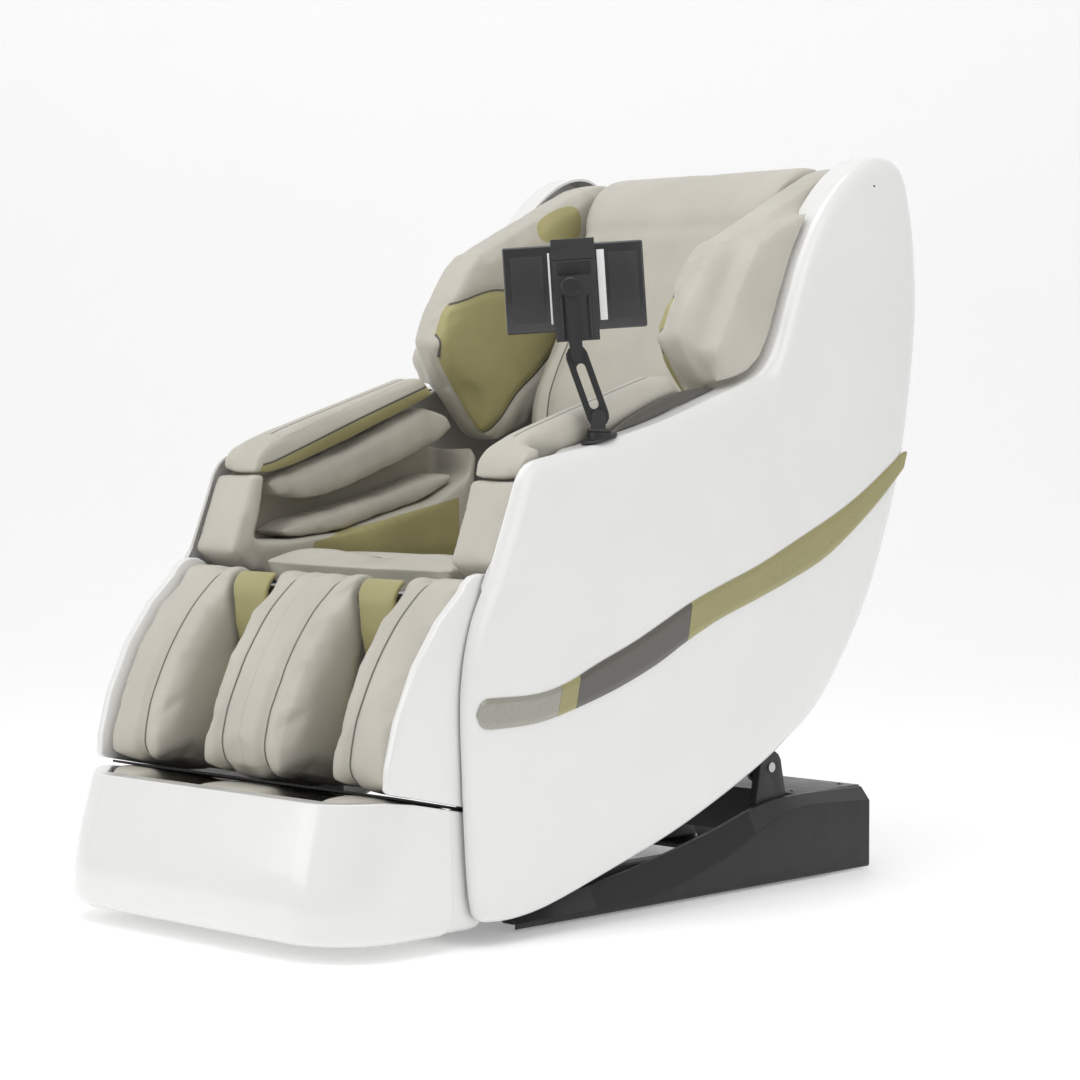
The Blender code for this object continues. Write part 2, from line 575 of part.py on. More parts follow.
def build_foot_unit():
    bm = bmesh.new()
    levels = [(0.022, 0.331, -0.622, 0.014), (0.045, 0.331, -0.622, 0.0),
              (0.120, 0.3295, -0.606, 0.0), (0.240, 0.3245, -0.572, 0.0)]
    rings = []
    for z, half, front, inset in levels:
        rings.append([bm.verts.new((x, y, z)) for x, y in foot_plan(half, front, 0.11, inset)])
    for a, b in zip(rings, rings[1:]):
        for i in range(len(a)):
            j = (i + 1) % len(a)
            bm.faces.new((a[i], a[j], b[j], b[i]))
    bm.faces.new(list(reversed(rings[0])))
    bm.faces.new(rings[-1])
    shell = add_piece("foot_shell", bm, "pearl_white", "foot")
    above = [(-0.70, 0.214), (-0.520, 0.219), (-0.475, 0.213), (-0.345, 0.1865), (-0.25, 0.166), (-0.25, 0.30),
             (-0.70, 0.30)]
    cut_with(shell, prism(above, -0.40, 0.40), "foot")
    well = [(LEG_WELL, -0.350), (LEG_WELL, -0.505), (0.250, -0.560)]
    well += [(-x, y) for x, y in reversed(well)]
    cut_with(shell, upright(well, 0.050, 0.35), "foot")

    top = [(-0.5595, 0.0505), (-0.3505, 0.0505), (-0.3505, 0.188), (-0.500, 0.2205),
           (-0.545, 0.221), (-0.5595, 0.206)]
    half = LEG_WELL - 0.0005
    liner = add_piece("foot_liner", prism(top, -half, half), "warm_leather", "foot")
    corner = [(0.3409, -0.4774), (0.2194, -0.5869), (0.400, -0.650)]
    y, z = FOOT_ROLLER
    for sign in (1, -1):
        cut_with(liner, upright([(sign * x, along) for x, along in corner], 0.03, 0.30), "foot")
        cut_with(liner, box(sign * 0.070, sign * 0.205, -0.552, -0.362, 0.072, 0.30), "foot")
        cut_with(liner, axle_hole(y, z, 0.0045, sign * 0.0600 - 0.010 * sign, sign * 0.2000), "foot")
        side = "left" if sign > 0 else "right"
        bumps = [(-0.072, 0.004), (-0.064, 0.004), (-0.062, 0.014), (-0.045, 0.0205), (-0.028, 0.013),
                 (0.0, 0.013), (0.028, 0.013), (0.045, 0.0205), (0.062, 0.014), (0.064, 0.004),
                 (0.072, 0.004)]
        roller = turned(bumps, (sign * 0.1375, y, z), "X", 16)
        add_piece("foot_roller_" + side, roller, "dark_plastic", "foot_roller_" + side)


# ---------------------------------------------------------------- sled base
COVER_STATIONS = [(-0.235, 0.012, 0.028), (-0.080, 0.014, 0.045), (0.060, 0.018, 0.066),
                  (0.222, 0.056, 0.100), (0.330, 0.098, 0.128), (0.420, 0.120, 0.137),
                  (0.597, 0.114, 0.135)]


def base_cover():
    """A moulded skirt: upright outer wall, a sloping shoulder and a short top lip."""
    bm = bmesh.new()
    rings = []
    for y, side, top in COVER_STATIONS:
        wall = 0.003
        section = [(0.285, 0.004), (0.285, side), (0.266, top), (0.262, top),
                   (0.262, top - wall), (0.2645, top - wall), (0.282, side - 0.0015),
                   (0.282, 0.004)]
        rings.append([bm.verts.new((x, y, z)) for x, z in section])
    for a, b in zip(rings, rings[1:]):
        for i in range(len(a)):
            j = (i + 1) % len(a)
            bm.faces.new((a[i], a[j], b[j], b[i]))
    bm.faces.new(list(reversed(rings[0])))
    bm.faces.new(rings[-1])
    return bm


def base_rail():
    """A steel runner with the tilt axle's bracket welded to its outer side."""
    return box(0.205, 0.2445, -0.200, 0.540, 0.022, 0.062)


def rail_bracket():
    boss = arc(TILT_PIVOT, 0.027, 0, 180, 8)
    plate = boss + [(0.325, 0.060), (0.325, 0.026), (0.430, 0.026), (0.430, 0.060)]
    return prism(plate, 0.2440, 0.2575)


def build_base():
    rails = both_sides("base_rail", base_rail, "frame_steel", "base")
    cut_with(rails[0], rail_bracket(), "base", "UNION")
    cut_with(rails[1], mirror_x(rail_bracket()), "base", "UNION")
    for obj, sign in zip(rails, (1, -1)):
        cut_with(obj, axle_hole(*TILT_PIVOT, 0.0085, sign * 0.235, sign * 0.265), "base")
    axle = rod((0, *TILT_PIVOT), "X", 0.008, 0.2600)
    add_piece("tilt_axle", axle, "bright_steel", "base")
    both_sides("base_cover", base_cover, "black_plastic", "base")
    add_piece("base_crossbar", box(-0.2045, 0.2045, -0.165, -0.125, 0.026, 0.058), "frame_steel", "base")
    add_piece("base_deck", box(-0.2045, 0.2045, 0.425, 0.535, 0.024, 0.030), "frame_steel", "base")
    strip = lambda: rounded_box(0.210, 0.240, -0.195, 0.535, 0.0, 0.0217, 0.004, 1)
    both_sides("floor_strip", strip, "rubber", "base")

    housing = add_piece("rear_housing", box(-0.2615, 0.2615, 0.434, 0.6000, 0.064, 0.137),
                        "black_plastic", "base")
    cut_with(housing, box(-0.2575, 0.2575, 0.4365, 0.5970, 0.040, 0.133), "base")
    add_piece("power_supply", rounded_box(-0.190, -0.030, 0.440, 0.530, 0.0305, 0.110, 0.004, 1),
              "grey_plastic", "base")
    pump = rod((0.100, 0.485, 0.0665), "X", 0.0355, 0.070, 20)
    add_piece("air_pump", pump, "grey_plastic", "base")

    inlet = add_piece("power_inlet", box(0.060, 0.160, 0.6003, 0.6140, 0.078, 0.116),
                      "dark_plastic", "base")
    cut_with(inlet, box(0.068, 0.098, 0.6045, 0.630, 0.086, 0.108), "base")
    cut_with(inlet, box(0.118, 0.148, 0.6035, 0.630, 0.088, 0.106), "base")
    tilt = math.tan(math.radians(7))
    half, deep = 0.0075, 0.0045
    rocker = [(0.6140 - deep, 0.097 - half), (0.6150 + half * tilt, 0.097 - half), (0.6140, 0.097),
              (0.6150 - half * tilt, 0.097 + half), (0.6140 - deep, 0.097 + half)]
    add_piece("power_rocker", prism(rocker, 0.1195, 0.1465), "rubber", "rocker")


# ---------------------------------------------------------------- tablet arm
# Worked out in the arm's own frame: t across the links, u sideways, z up, all from the
# turntable's axis. The arm stands turned, so that the tablet faces the sitter.
HOLDER_TURN = -44.0
RIM_Z = 0.7130               # the shell's rim under the arm
RIM_SLOPE = 0.2308
FOOT_Z = 0.7250
LINK_LOW = (-0.0015, 0.748)  # u, z of the lower link's hinge
LINK_HALF = 0.016            # half width of the slotted lower link
ELBOW = (-0.033, 0.836)
HEAD_HINGE = (-0.043, 0.936)
HEAD_TILT = 3.75             # how far the tablet leans in its own plane, in degrees
TABLET = (0.206, 0.127, 0.009)
TABLET_SHIFT = 0.0078        # sideways from the head's hinge to the tablet's middle


def turn_holder(bm):
    """From the arm's own frame to chair coordinates."""
    spin = Matrix.Rotation(math.radians(HOLDER_TURN), 3, "Z")
    bmesh.ops.rotate(bm, cent=(0, 0, 0), matrix=spin, verts=bm.verts)
    bmesh.ops.translate(bm, verts=bm.verts, vec=(HOLDER[0], HOLDER[1], 0))
    return bm


def holder_point(t, u, z):
    angle = math.radians(HOLDER_TURN)
    x = HOLDER[0] + t * math.cos(angle) - u * math.sin(angle)
    y = HOLDER[1] + t * math.sin(angle) + u * math.cos(angle)
    return (x, y, z)


def link(start, end, half_width, t0, t1):
    """A link with round ends between two hinges."""
    a, b = Vector(start), Vector(end)
    angle = math.degrees(math.atan2(b.y - a.y, b.x - a.x))
    outline = arc(b, half_width, angle - 90, angle + 90, 6)
    outline += arc(a, half_width, angle + 90, angle + 270, 6)
    return prism(outline, t0, t1)


def lean_head(bm):
    """The tablet and its clamp lean a little about the head's hinge."""
    spin = Matrix.Rotation(math.radians(HEAD_TILT), 3, "X")
    bmesh.ops.rotate(bm, cent=(0, *HEAD_HINGE), matrix=spin, verts=bm.verts)
    return turn_holder(bm)


def holder_pad():
    """An oblong plate on the sloping rim, with a round level block on it."""
    bm = bmesh.new()
    rings = []
    levels = [(0.0197, 0.0317, 0.0008, 0), (0.0205, 0.033, 0.0025, 0), (0.0193, 0.0310, 0.0050, 0),
              (0.0180, 0.0180, 0.0058, 0), (0.0180, 0.0180, FOOT_Z - 0.0003 - RIM_Z, 1)]
    for across, along, lift, level in levels:
        ring = []
        for i in range(24):
            angle = math.pi * i / 12
            x, y = across * math.cos(angle), along * math.sin(angle)
            rise = lift if level else lift + RIM_SLOPE * y
            ring.append(bm.verts.new((HOLDER[0] + x, HOLDER[1] + y, RIM_Z + rise)))
        rings.append(ring)
    for a, b in zip(rings, rings[1:]):
        for i in range(24):
            j = (i + 1) % 24
            bm.faces.new((a[i], a[j], b[j], b[i]))
    bm.faces.new(list(reversed(rings[0])))
    bm.faces.new(rings[-1])
    return bm


def build_holder():
    add_piece("holder_base", holder_pad(), "black_plastic", "cocoon")

    foot = turned([(0.0, 0.0165), (0.0015, 0.0180), (0.004, 0.0180), (0.0055, 0.0160)],
                  (0, 0, FOOT_Z), "Z", 24)
    foot = add_piece("holder_foot", turn_holder(foot), "black_plastic", "holder_turn")
    ear = [(LINK_LOW[0] + 0.0105, FOOT_Z + 0.003), (LINK_LOW[0] + 0.0105, LINK_LOW[1])]
    ear += arc(LINK_LOW, 0.0105, 20, 180, 6) + [(LINK_LOW[0] - 0.0105, FOOT_Z + 0.003)]
    for sign in (1, -1):
        tool = prism(ear, sign * 0.0075, sign * 0.0105)
        cut_with(foot, turn_holder(tool), "holder_turn", "UNION")

    lower = link(LINK_LOW, ELBOW, LINK_HALF, -0.007, 0.007)
    lower = add_piece("holder_lower_link", turn_holder(lower), "black_plastic", "holder_lower")
    slot_from = Vector(LINK_LOW).lerp(Vector(ELBOW), 0.20)
    slot_to = Vector(LINK_LOW).lerp(Vector(ELBOW), 0.80)
    slot = link(slot_from, slot_to, 0.0070, -0.02, 0.02)
    cut_with(lower, turn_holder(slot), "holder_lower")

    upper = link(ELBOW, HEAD_HINGE, 0.0095, 0.0075, 0.0125)
    upper = add_piece("holder_upper_link", turn_holder(upper), "black_plastic", "holder_upper")
    knob = turned([(0.0115, 0.0145), (0.0180, 0.0145), (0.0200, 0.0120)], (0, *HEAD_HINGE), "X", 20)
    cut_with(upper, turn_holder(knob), "holder_upper", "UNION")

    u, z = HEAD_HINGE
    half_w, half_h, thick = TABLET[0] / 2, TABLET[1] / 2, TABLET[2]
    centre = u + TABLET_SHIFT
    grip = 0.032
    boss = rod((-0.0010, u, z), "X", 0.013, 0.0080, 20)
    clamp = add_piece("clamp_back", lean_head(boss), "black_plastic", "holder_head")
    plate = box(-0.0120, -0.0075, centre - grip, centre + grip, z - half_h - 0.015, z + 0.040)
    cut_with(clamp, lean_head(plate), "holder_head", "UNION")
    sill = box(-0.0265, -0.0080, centre - grip + 0.001, centre + grip - 0.001, z - half_h - 0.007,
               z - half_h - 0.0003)
    cut_with(clamp, lean_head(sill), "holder_head", "UNION")
    tablet = rounded_box(-0.0125 - thick, -0.0125, centre - half_w, centre + half_w, z - half_h,
                         z + half_h, 0.003, 2)
    add_piece("control_tablet", lean_head(tablet), "glass_black", "holder_head")
    jaw = bmesh.new()
    lip = [(-0.0120, z + 0.0405), (-0.0075, z + 0.0405), (-0.0075, z + half_h + 0.0075),
           (-0.0265, z + half_h + 0.0075), (-0.0265, z + half_h + 0.0003), (-0.0120, z + half_h + 0.0003)]
    near = [jaw.verts.new((t, centre - grip, height)) for t, height in lip]
    far = [jaw.verts.new((t, centre + grip, height)) for t, height in lip]
    jaw.faces.new(near)
    jaw.faces.new(list(reversed(far)))
    for i in range(len(lip)):
        k = (i + 1) % len(lip)
        jaw.faces.new((near[k], near[i], far[i], far[k]))
    add_piece("clamp_jaw", lean_head(jaw), "dark_plastic", "holder_jaw")


# ---------------------------------------------------------------- assembly
def build_pivots():
    pivot("base", 0, 0, 0)
    pivot("rocker", 0.133, 0.6125, 0.097, "base")
    pivot("cocoon", 0, *TILT_PIVOT, "base")
    pivot("carriage", 0, *on_rail(0, 0), "cocoon")
    for side, sign in (("left", 1), ("right", -1)):
        pivot("head_" + side, sign * 0.046, *on_rail(0, 0.018), "carriage")
        pivot("roller_" + side, sign * 0.0655, *on_rail(0.047, 0.040), "head_" + side)
    pivot("leg", 0, *LEG_PIVOT, "cocoon")
    pivot("foot", 0, LEG_PIVOT[0] + 0.30 * CALF_DIR[0], LEG_PIVOT[1] + 0.30 * CALF_DIR[1], "leg")
    for side, sign in (("left", 1), ("right", -1)):
        pivot("foot_roller_" + side, sign * 0.1375, *FOOT_ROLLER, "foot")
    pivot("holder_turn", *HOLDER, FOOT_Z, "cocoon")
    pivot("holder_lower", *holder_point(0, *LINK_LOW), "holder_turn")
    pivot("holder_upper", *holder_point(0, *ELBOW), "holder_lower")
    pivot("holder_head", *holder_point(0, *HEAD_HINGE), "holder_upper")
    pivot("holder_jaw", *holder_point(-0.012, HEAD_HINGE[0] + TABLET_SHIFT, HEAD_HINGE[1] + 0.06), "holder_head")


def main():
    clear_scene()
    build_pivots()
    build_base()
    build_shells()
    build_arms()
    build_wings()
    build_frame()
    build_cushions()
    build_mechanism()
    build_leg_rest()
    build_foot_unit()
    build_holder()


main()
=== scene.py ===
"""Massage chair, the visible model: shells, upholstery, trim, base and tablet arm.

Everything is placed from the frame's own boxes or from the chair's side outlines, in
metres. +Z is up, the chair faces -Y and the sitter's left hand is on +X.
"""
import math
import bpy
import bmesh
import numpy as np
from mathutils import Matrix, Vector


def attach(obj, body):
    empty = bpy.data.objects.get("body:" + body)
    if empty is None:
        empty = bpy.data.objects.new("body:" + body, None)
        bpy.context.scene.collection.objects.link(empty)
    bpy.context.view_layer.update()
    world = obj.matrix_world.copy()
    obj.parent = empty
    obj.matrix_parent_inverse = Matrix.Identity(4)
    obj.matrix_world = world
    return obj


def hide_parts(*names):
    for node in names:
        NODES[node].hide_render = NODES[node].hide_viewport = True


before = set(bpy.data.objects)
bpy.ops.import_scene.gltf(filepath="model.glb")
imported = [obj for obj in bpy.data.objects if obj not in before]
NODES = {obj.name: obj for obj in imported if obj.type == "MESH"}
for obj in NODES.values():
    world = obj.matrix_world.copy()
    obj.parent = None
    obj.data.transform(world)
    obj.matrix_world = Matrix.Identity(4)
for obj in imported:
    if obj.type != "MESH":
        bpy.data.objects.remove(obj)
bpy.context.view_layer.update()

SHELL_X = 0.3545
SHELL_FLARE = 0.018
TRAY_EDGE_X = 0.305              # inner rim of the shells along the arm, wing and back
FRONT_EDGE_X = 0.329             # beside the leg rest
CORNER_EDGE_X = 0.332            # round the arm's front end
SHELL_CENTRE = (0.17, 0.47)      # y, z of the middle that the shell's face swells about
LEG_PIVOT = (-0.345, 0.485)
HOLDER = (0.327, -0.105)
HOLDER_TURN = math.radians(-44.0)
HEAD_HINGE = (-0.043, 0.936)
HEAD_TILT = math.radians(3.75)
TABLET_SHIFT = 0.0078
LEG_WELL = 0.311
FOOT_TAIL_HALF = 0.3215

SHELL_OUTLINE = [
    (-0.340, 0.0345), (-0.362, 0.040), (-0.374, 0.060), (-0.382, 0.120), (-0.389, 0.240),
    (-0.392, 0.360), (-0.375, 0.450), (-0.335, 0.540), (-0.300, 0.625), (-0.286, 0.660),
    (-0.266, 0.681), (-0.235, 0.689), (-0.208, 0.6935), (-0.160, 0.7015), (-0.120, 0.709),
    (0.010, 0.739), (0.130, 0.776),
    (0.220, 0.806), (0.255, 0.830), (0.277, 0.868), (0.302, 0.930), (0.333, 1.000),
    (0.380, 1.070), (0.440, 1.127), (0.500, 1.157), (0.550, 1.160), (0.584, 1.140),
    (0.604, 1.090), (0.618, 1.010), (0.621, 0.890), (0.594, 0.710), (0.555, 0.580),
    (0.490, 0.438), (0.390, 0.305), (0.300, 0.240), (0.200, 0.188), (0.050, 0.126),
    (-0.100, 0.079), (-0.220, 0.045), (-0.290, 0.034),
]


# ---------------------------------------------------------------- materials
def new_material(name, colour, roughness, metallic=0.0, coat=0.0, sheen=0.0):
    mat = bpy.data.materials.new(name)
    mat.use_nodes = True
    shader = mat.node_tree.nodes["Principled BSDF"]
    shader.inputs["Base Color"].default_value = (*colour, 1.0)
    shader.inputs["Roughness"].default_value = roughness
    shader.inputs["Metallic"].default_value = metallic
    shader.inputs["Coat Weight"].default_value = coat
    shader.inputs["Coat Roughness"].default_value = 0.08
    shader.inputs["Sheen Weight"].default_value = sheen
    return mat, mat.node_tree, shader


def add_node(tree, kind, **inputs):
    node = tree.nodes.new(kind)
    for key, value in inputs.items():
        node.inputs[key.replace("_", " ")].default_value = value
    return node


def noise(tree, scale, detail=3.0):
    coords = tree.nodes.new("ShaderNodeTexCoord")
    tex = add_node(tree, "ShaderNodeTexNoise", Scale=scale, Detail=detail)
    tree.links.new(coords.outputs["Object"], tex.inputs["Vector"])
    return tex.outputs["Fac"]


def spread(tree, fac, low, high):
    """Maps a 0..1 texture to a narrow range."""
    node = tree.nodes.new("ShaderNodeMapRange")
    node.inputs["From Min"].default_value = 0.3
    node.inputs["From Max"].default_value = 0.7
    node.inputs["To Min"].default_value = low
    node.inputs["To Max"].default_value = high
    tree.links.new(fac, node.inputs["Value"])
    return node.outputs["Result"]


def add_bump(tree, shader, heights):
    """Stacks bump heights: (socket, strength, distance)."""
    last = None
    for socket, strength, distance in heights:
        bump = tree.nodes.new("ShaderNodeBump")
        bump.inputs["Strength"].default_value = strength
        bump.inputs["Distance"].default_value = distance
        tree.links.new(socket, bump.inputs["Height"])
        if last:
            tree.links.new(last.outputs["Normal"], bump.inputs["Normal"])
        last = bump
    tree.links.new(last.outputs["Normal"], shader.inputs["Normal"])


def mix_colour(tree, fac, a, b):
    node = tree.nodes.new("ShaderNodeMix")
    node.data_type = "RGBA"
    tree.links.new(fac, node.inputs["Factor"])
    for socket, value in ((node.inputs["A"], a), (node.inputs["B"], b)):
        if isinstance(value, tuple):
            socket.default_value = (*value, 1.0)
        else:
            tree.links.new(value, socket)
    return node.outputs["Result"]


def moulding(name, colour, roughness, coat=0.0, metallic=0.0, grain=0.0, shade=0.94):
    """Moulded plastic or paint: faint mottling and, on matt kinds, a fine texture."""
    mat, tree, shader = new_material(name, colour, roughness, metallic, coat)
    dark = tuple(c * shade for c in colour)
    tone = mix_colour(tree, spread(tree, noise(tree, 6.0), 0.0, 1.0), dark, colour)
    tree.links.new(tone, shader.inputs["Base Color"])
    rough = spread(tree, noise(tree, 35.0), max(roughness - 0.04, 0.02), roughness + 0.06)
    tree.links.new(rough, shader.inputs["Roughness"])
    if grain:
        add_bump(tree, shader, [(noise(tree, 1400.0, 1.0), grain, 0.0003)])
    return mat


def leather(name, colour, accent):
    """Synthetic leather. Attribute "panel" below zero is the accent colour; attribute "seam" is the signed
    distance to the nearest seam, drawn as a tight fold with painted shade darkening its line."""
    mat, tree, shader = new_material(name, colour, 0.46, sheen=0.12)
    shader.inputs["Sheen Roughness"].default_value = 0.5
    shader.inputs["Specular IOR Level"].default_value = 0.42
    panel = tree.nodes.new("ShaderNodeAttribute")
    panel.attribute_name = "panel"
    edge = tree.nodes.new("ShaderNodeMapRange")
    edge.inputs["From Min"].default_value = -0.0006
    edge.inputs["From Max"].default_value = 0.0006
    tree.links.new(panel.outputs["Fac"], edge.inputs["Value"])
    base = mix_colour(tree, edge.outputs["Result"], accent, colour)
    dark = mix_colour(tree, edge.outputs["Result"], tuple(c * 0.84 for c in accent),
                      tuple(c * 0.90 for c in colour))
    tone = mix_colour(tree, spread(tree, noise(tree, 9.0), 0.0, 1.0), dark, base)
    seam = tree.nodes.new("ShaderNodeAttribute")
    seam.attribute_name = "seam"
    line = tree.nodes.new("ShaderNodeMapRange")
    line.interpolation_type = "SMOOTHSTEP"
    line.inputs["From Min"].default_value = 0.0004
    line.inputs["From Max"].default_value = 0.0026
    away = tree.nodes.new("ShaderNodeMath")
    away.operation = "ABSOLUTE"
    tree.links.new(seam.outputs["Fac"], away.inputs[0])
    tree.links.new(away.outputs["Value"], line.inputs["Value"])
    # Painted shade: the colour drops to a fifth along each seam, standing in for the shade in its crease.
    tone = mix_colour(tree, line.outputs["Result"], tuple(c * 0.18 for c in colour), tone)
    tree.links.new(tone, shader.inputs["Base Color"])
    rough = spread(tree, noise(tree, 60.0), 0.40, 0.54)
    tree.links.new(rough, shader.inputs["Roughness"])
    coords = tree.nodes.new("ShaderNodeTexCoord")
    cells = tree.nodes.new("ShaderNodeTexVoronoi")
    cells.feature = "DISTANCE_TO_EDGE"
    cells.inputs["Scale"].default_value = 620.0
    tree.links.new(coords.outputs["Object"], cells.inputs["Vector"])
    add_bump(tree, shader, [(noise(tree, 14.0, 4.0), 0.25, 0.004),
                            (cells.outputs["Distance"], 0.30, 0.0005),
                            (line.outputs["Result"], 0.7, 0.002)])
    return mat


PEARL = moulding("pearl_white", (0.80, 0.80, 0.785), 0.20, coat=0.55, shade=0.975)
WARM = (0.530, 0.505, 0.440)
KHAKI = (0.400, 0.365, 0.165)
LEATHER = leather("leather_grey", WARM, KHAKI)
KHAKI_BAND = moulding("khaki_band", (0.345, 0.318, 0.150), 0.30, coat=0.3, metallic=0.2)
SILVER_BAND = moulding("silver_band", (0.36, 0.35, 0.30), 0.28, coat=0.3, metallic=0.35)
DARK_BAND = moulding("dark_band", (0.105, 0.098, 0.085), 0.22, coat=0.5)
BLACK = moulding("black_plastic", (0.012, 0.012, 0.013), 0.42, grain=0.35)
DARK = moulding("dark_plastic", (0.028, 0.028, 0.029), 0.36, grain=0.2)
TOP_BLACK = moulding("base_top_plastic", (0.030, 0.030, 0.031), 0.38, grain=0.35)
STEEL_PAINT = moulding("black_paint", (0.035, 0.035, 0.038), 0.45, metallic=0.2, grain=0.3)
STEEL = moulding("bare_steel", (0.56, 0.56, 0.57), 0.28, metallic=1.0)
RUBBER = moulding("rubber", (0.016, 0.016, 0.017), 0.75, grain=0.5)
GREY = moulding("grey_housing", (0.22, 0.22, 0.23), 0.5, grain=0.4)
GLASS = moulding("tablet_back", (0.012, 0.012, 0.013), 0.20, coat=0.6)
LIGHT_STRIP = moulding("light_strip", (0.74, 0.74, 0.72), 0.30, coat=0.3)
for material_name, nodes in {
    STEEL_PAINT: ("base_crossbar", "base_deck", "side_plate_left", "side_plate_right",
                  "seat_pan", "back_tie_bar", "massage_carriage"),
    STEEL: ("tilt_axle", "massage_rail_left", "massage_rail_right", "leg_pivot_tube"),
    RUBBER: ("kneading_roller_left", "kneading_roller_right", "floor_strip_left",
             "floor_strip_right"),
    DARK: ("roller_arm_left", "roller_arm_right"),
    GREY: ("power_supply", "air_pump"),
}.items():
    for node in nodes:
        for slot in NODES[node].material_slots:
            slot.material = material_name


# ---------------------------------------------------------------- mesh helpers
def smooth_line(points, steps=2, closed=True):
    """A Catmull-Rom curve through the points, with a few steps in each span."""
    count = len(points)
    line = []
    for i in range(count if closed else count - 1):
        if closed:
            quad = [points[(i + k - 1) % count] for k in range(4)]
        else:
            quad = [points[min(max(i + k - 1, 0), count - 1)] for k in range(4)]
        for step in range(steps):
            t = step / steps
            line.append(tuple(
                0.5 * (2 * b + (c - a) * t + (2 * a - 5 * b + 4 * c - d) * t * t
                       + (3 * b - a - 3 * c + d) * t ** 3)
                for a, b, c, d in zip(*quad)))
    if not closed:
        line.append(tuple(points[-1]))
    return line


def arc(centre, radius, start, end, steps):
    points = []
    for step in range(steps + 1):
        angle = math.radians(start + (end - start) * step / steps)
        points.append((centre[0] + radius * math.cos(angle), centre[1] + radius * math.sin(angle)))
    return points


def even_line(points, spacing, closed=False):
    """The same line with points at even steps."""
    pts = np.array(points + [points[0]] if closed else points, float)
    run = np.r_[0, np.cumsum(np.linalg.norm(np.diff(pts, axis=0), axis=1))]
    count = max(int(round(run[-1] / spacing)), 2)
    at = np.linspace(0, run[-1], count + 1)
    out = np.stack([np.interp(at, run, pts[:, k]) for k in range(pts.shape[1])], axis=1)
    return [tuple(p) for p in (out[:-1] if closed else out)]


def ring_faces(bm, a, b, closed=True):
    count = len(a)
    for i in range(count if closed else count - 1):
        j = (i + 1) % count
        bm.faces.new((a[i], a[j], b[j], b[i]))


def loft(bm, rings, cap=True):
    """Joins rings of points into a tube of faces, closed at its ends."""
    made = [[bm.verts.new(p) for p in ring] for ring in rings]
    for a, b in zip(made, made[1:]):
        ring_faces(bm, a, b)
    if cap:
        bm.faces.new(list(reversed(made[0])))
        bm.faces.new(made[-1])
    return made


def prism(outline, x0, x1):
    bm = bmesh.new()
    loft(bm, [[(x0, y, z) for y, z in outline], [(x1, y, z) for y, z in outline]])
    return bm


def turned(profile, axis="X", sides=40):
    """Turns (along, radius) pairs about an axis through the origin; radius 0 is a pole."""
    bm = bmesh.new()
    rings = []
    for along, radius in profile:
        ring = []
        for i in range(sides):
            angle = 2 * math.pi * i / sides
            a, b = radius * math.cos(angle), radius * math.sin(angle)
            ring.append({"X": (along, a, b), "Y": (a, along, b), "Z": (a, b, along)}[axis])
        rings.append(ring)
    loft(bm, rings)
    bmesh.ops.remove_doubles(bm, verts=bm.verts, dist=1e-6)
    return bm


def to_object(name, bm, mat, smooth=True, angle=40):
    bmesh.ops.recalc_face_normals(bm, faces=bm.faces)
    mesh = bpy.data.meshes.new(name)
    bm.to_mesh(mesh)
    bm.free()
    for one in (mat if isinstance(mat, (list, tuple)) else [mat]):
        mesh.materials.append(one)
    if smooth:
        mesh.shade_smooth()
        if angle:
            mesh.set_sharp_from_angle(angle=math.radians(angle))
    obj = bpy.data.objects.new(name, mesh)
    bpy.context.scene.collection.objects.link(obj)
    return obj


def bake(obj):
    """Applies the object's modifiers to its mesh."""
    graph = bpy.context.evaluated_depsgraph_get()
    graph.update()
    mesh = bpy.data.meshes.new_from_object(obj.evaluated_get(graph))
    obj.modifiers.clear()
    old = obj.data
    obj.data = mesh
    bpy.data.meshes.remove(old)
    return obj


def bevel(obj, width, segments=3, angle=30):
    mod = obj.modifiers.new("edges", "BEVEL")
    mod.width = width
    mod.segments = segments
    mod.limit_method = "ANGLE"
    mod.angle_limit = math.radians(angle)
    bake(obj)
    obj.data.shade_smooth()
    obj.data.set_sharp_from_angle(angle=math.radians(50))
    return obj


def node_copy(*nodes):
    """One bmesh with the merged copies of some CAD nodes."""
    bm = bmesh.new()
    for node in nodes:
        bm.from_mesh(NODES[node].data)
    bmesh.ops.remove_doubles(bm, verts=bm.verts, dist=2e-5)
    return bm


def hard_piece(node, mat, body, width=0.001, segments=2, name=None):
    """A CAD node's own shape with clean faces and softened edges."""
    bm = node_copy(node)
    bmesh.ops.dissolve_limit(bm, angle_limit=math.radians(1.0), verts=bm.verts, edges=bm.edges)
    obj = to_object(name or node + "_finished", bm, mat)
    bevel(obj, width, segments)
    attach(obj, body)
    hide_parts(node)
    return obj


def nearest(*distances):
    """The signed distance that is closest to zero, point by point."""
    best = distances[0]
    for other in distances[1:]:
        best = np.where(np.abs(other) < np.abs(best), other, best)
    return best


def only(where, distance):
    """Keeps a signed distance in one place and puts it out of reach elsewhere."""
    return np.where(where, distance, np.copysign(1.0, distance))


def mirrored(obj, name):
    """A copy reflected to the other side, with its faces turned the right way round."""
    mesh = obj.data.copy()
    bm = bmesh.new()
    bm.from_mesh(mesh)
    bmesh.ops.scale(bm, vec=(-1, 1, 1), verts=bm.verts)
    bmesh.ops.reverse_faces(bm, faces=bm.faces)
    bm.to_mesh(mesh)
    bm.free()
    twin = bpy.data.objects.new(name, mesh)
    bpy.context.scene.collection.objects.link(twin)
    for mod in obj.modifiers:
        if mod.type == "SUBSURF":
            add_subdivision(twin)
    return twin


def add_subdivision(obj, levels=1):
    mod = obj.modifiers.new("finish", "SUBSURF")
    mod.levels = levels
    mod.render_levels = levels


def finish(obj, body, *nodes, slot=None):
    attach(obj, body)
    if nodes:
        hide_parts(*nodes)
    return obj


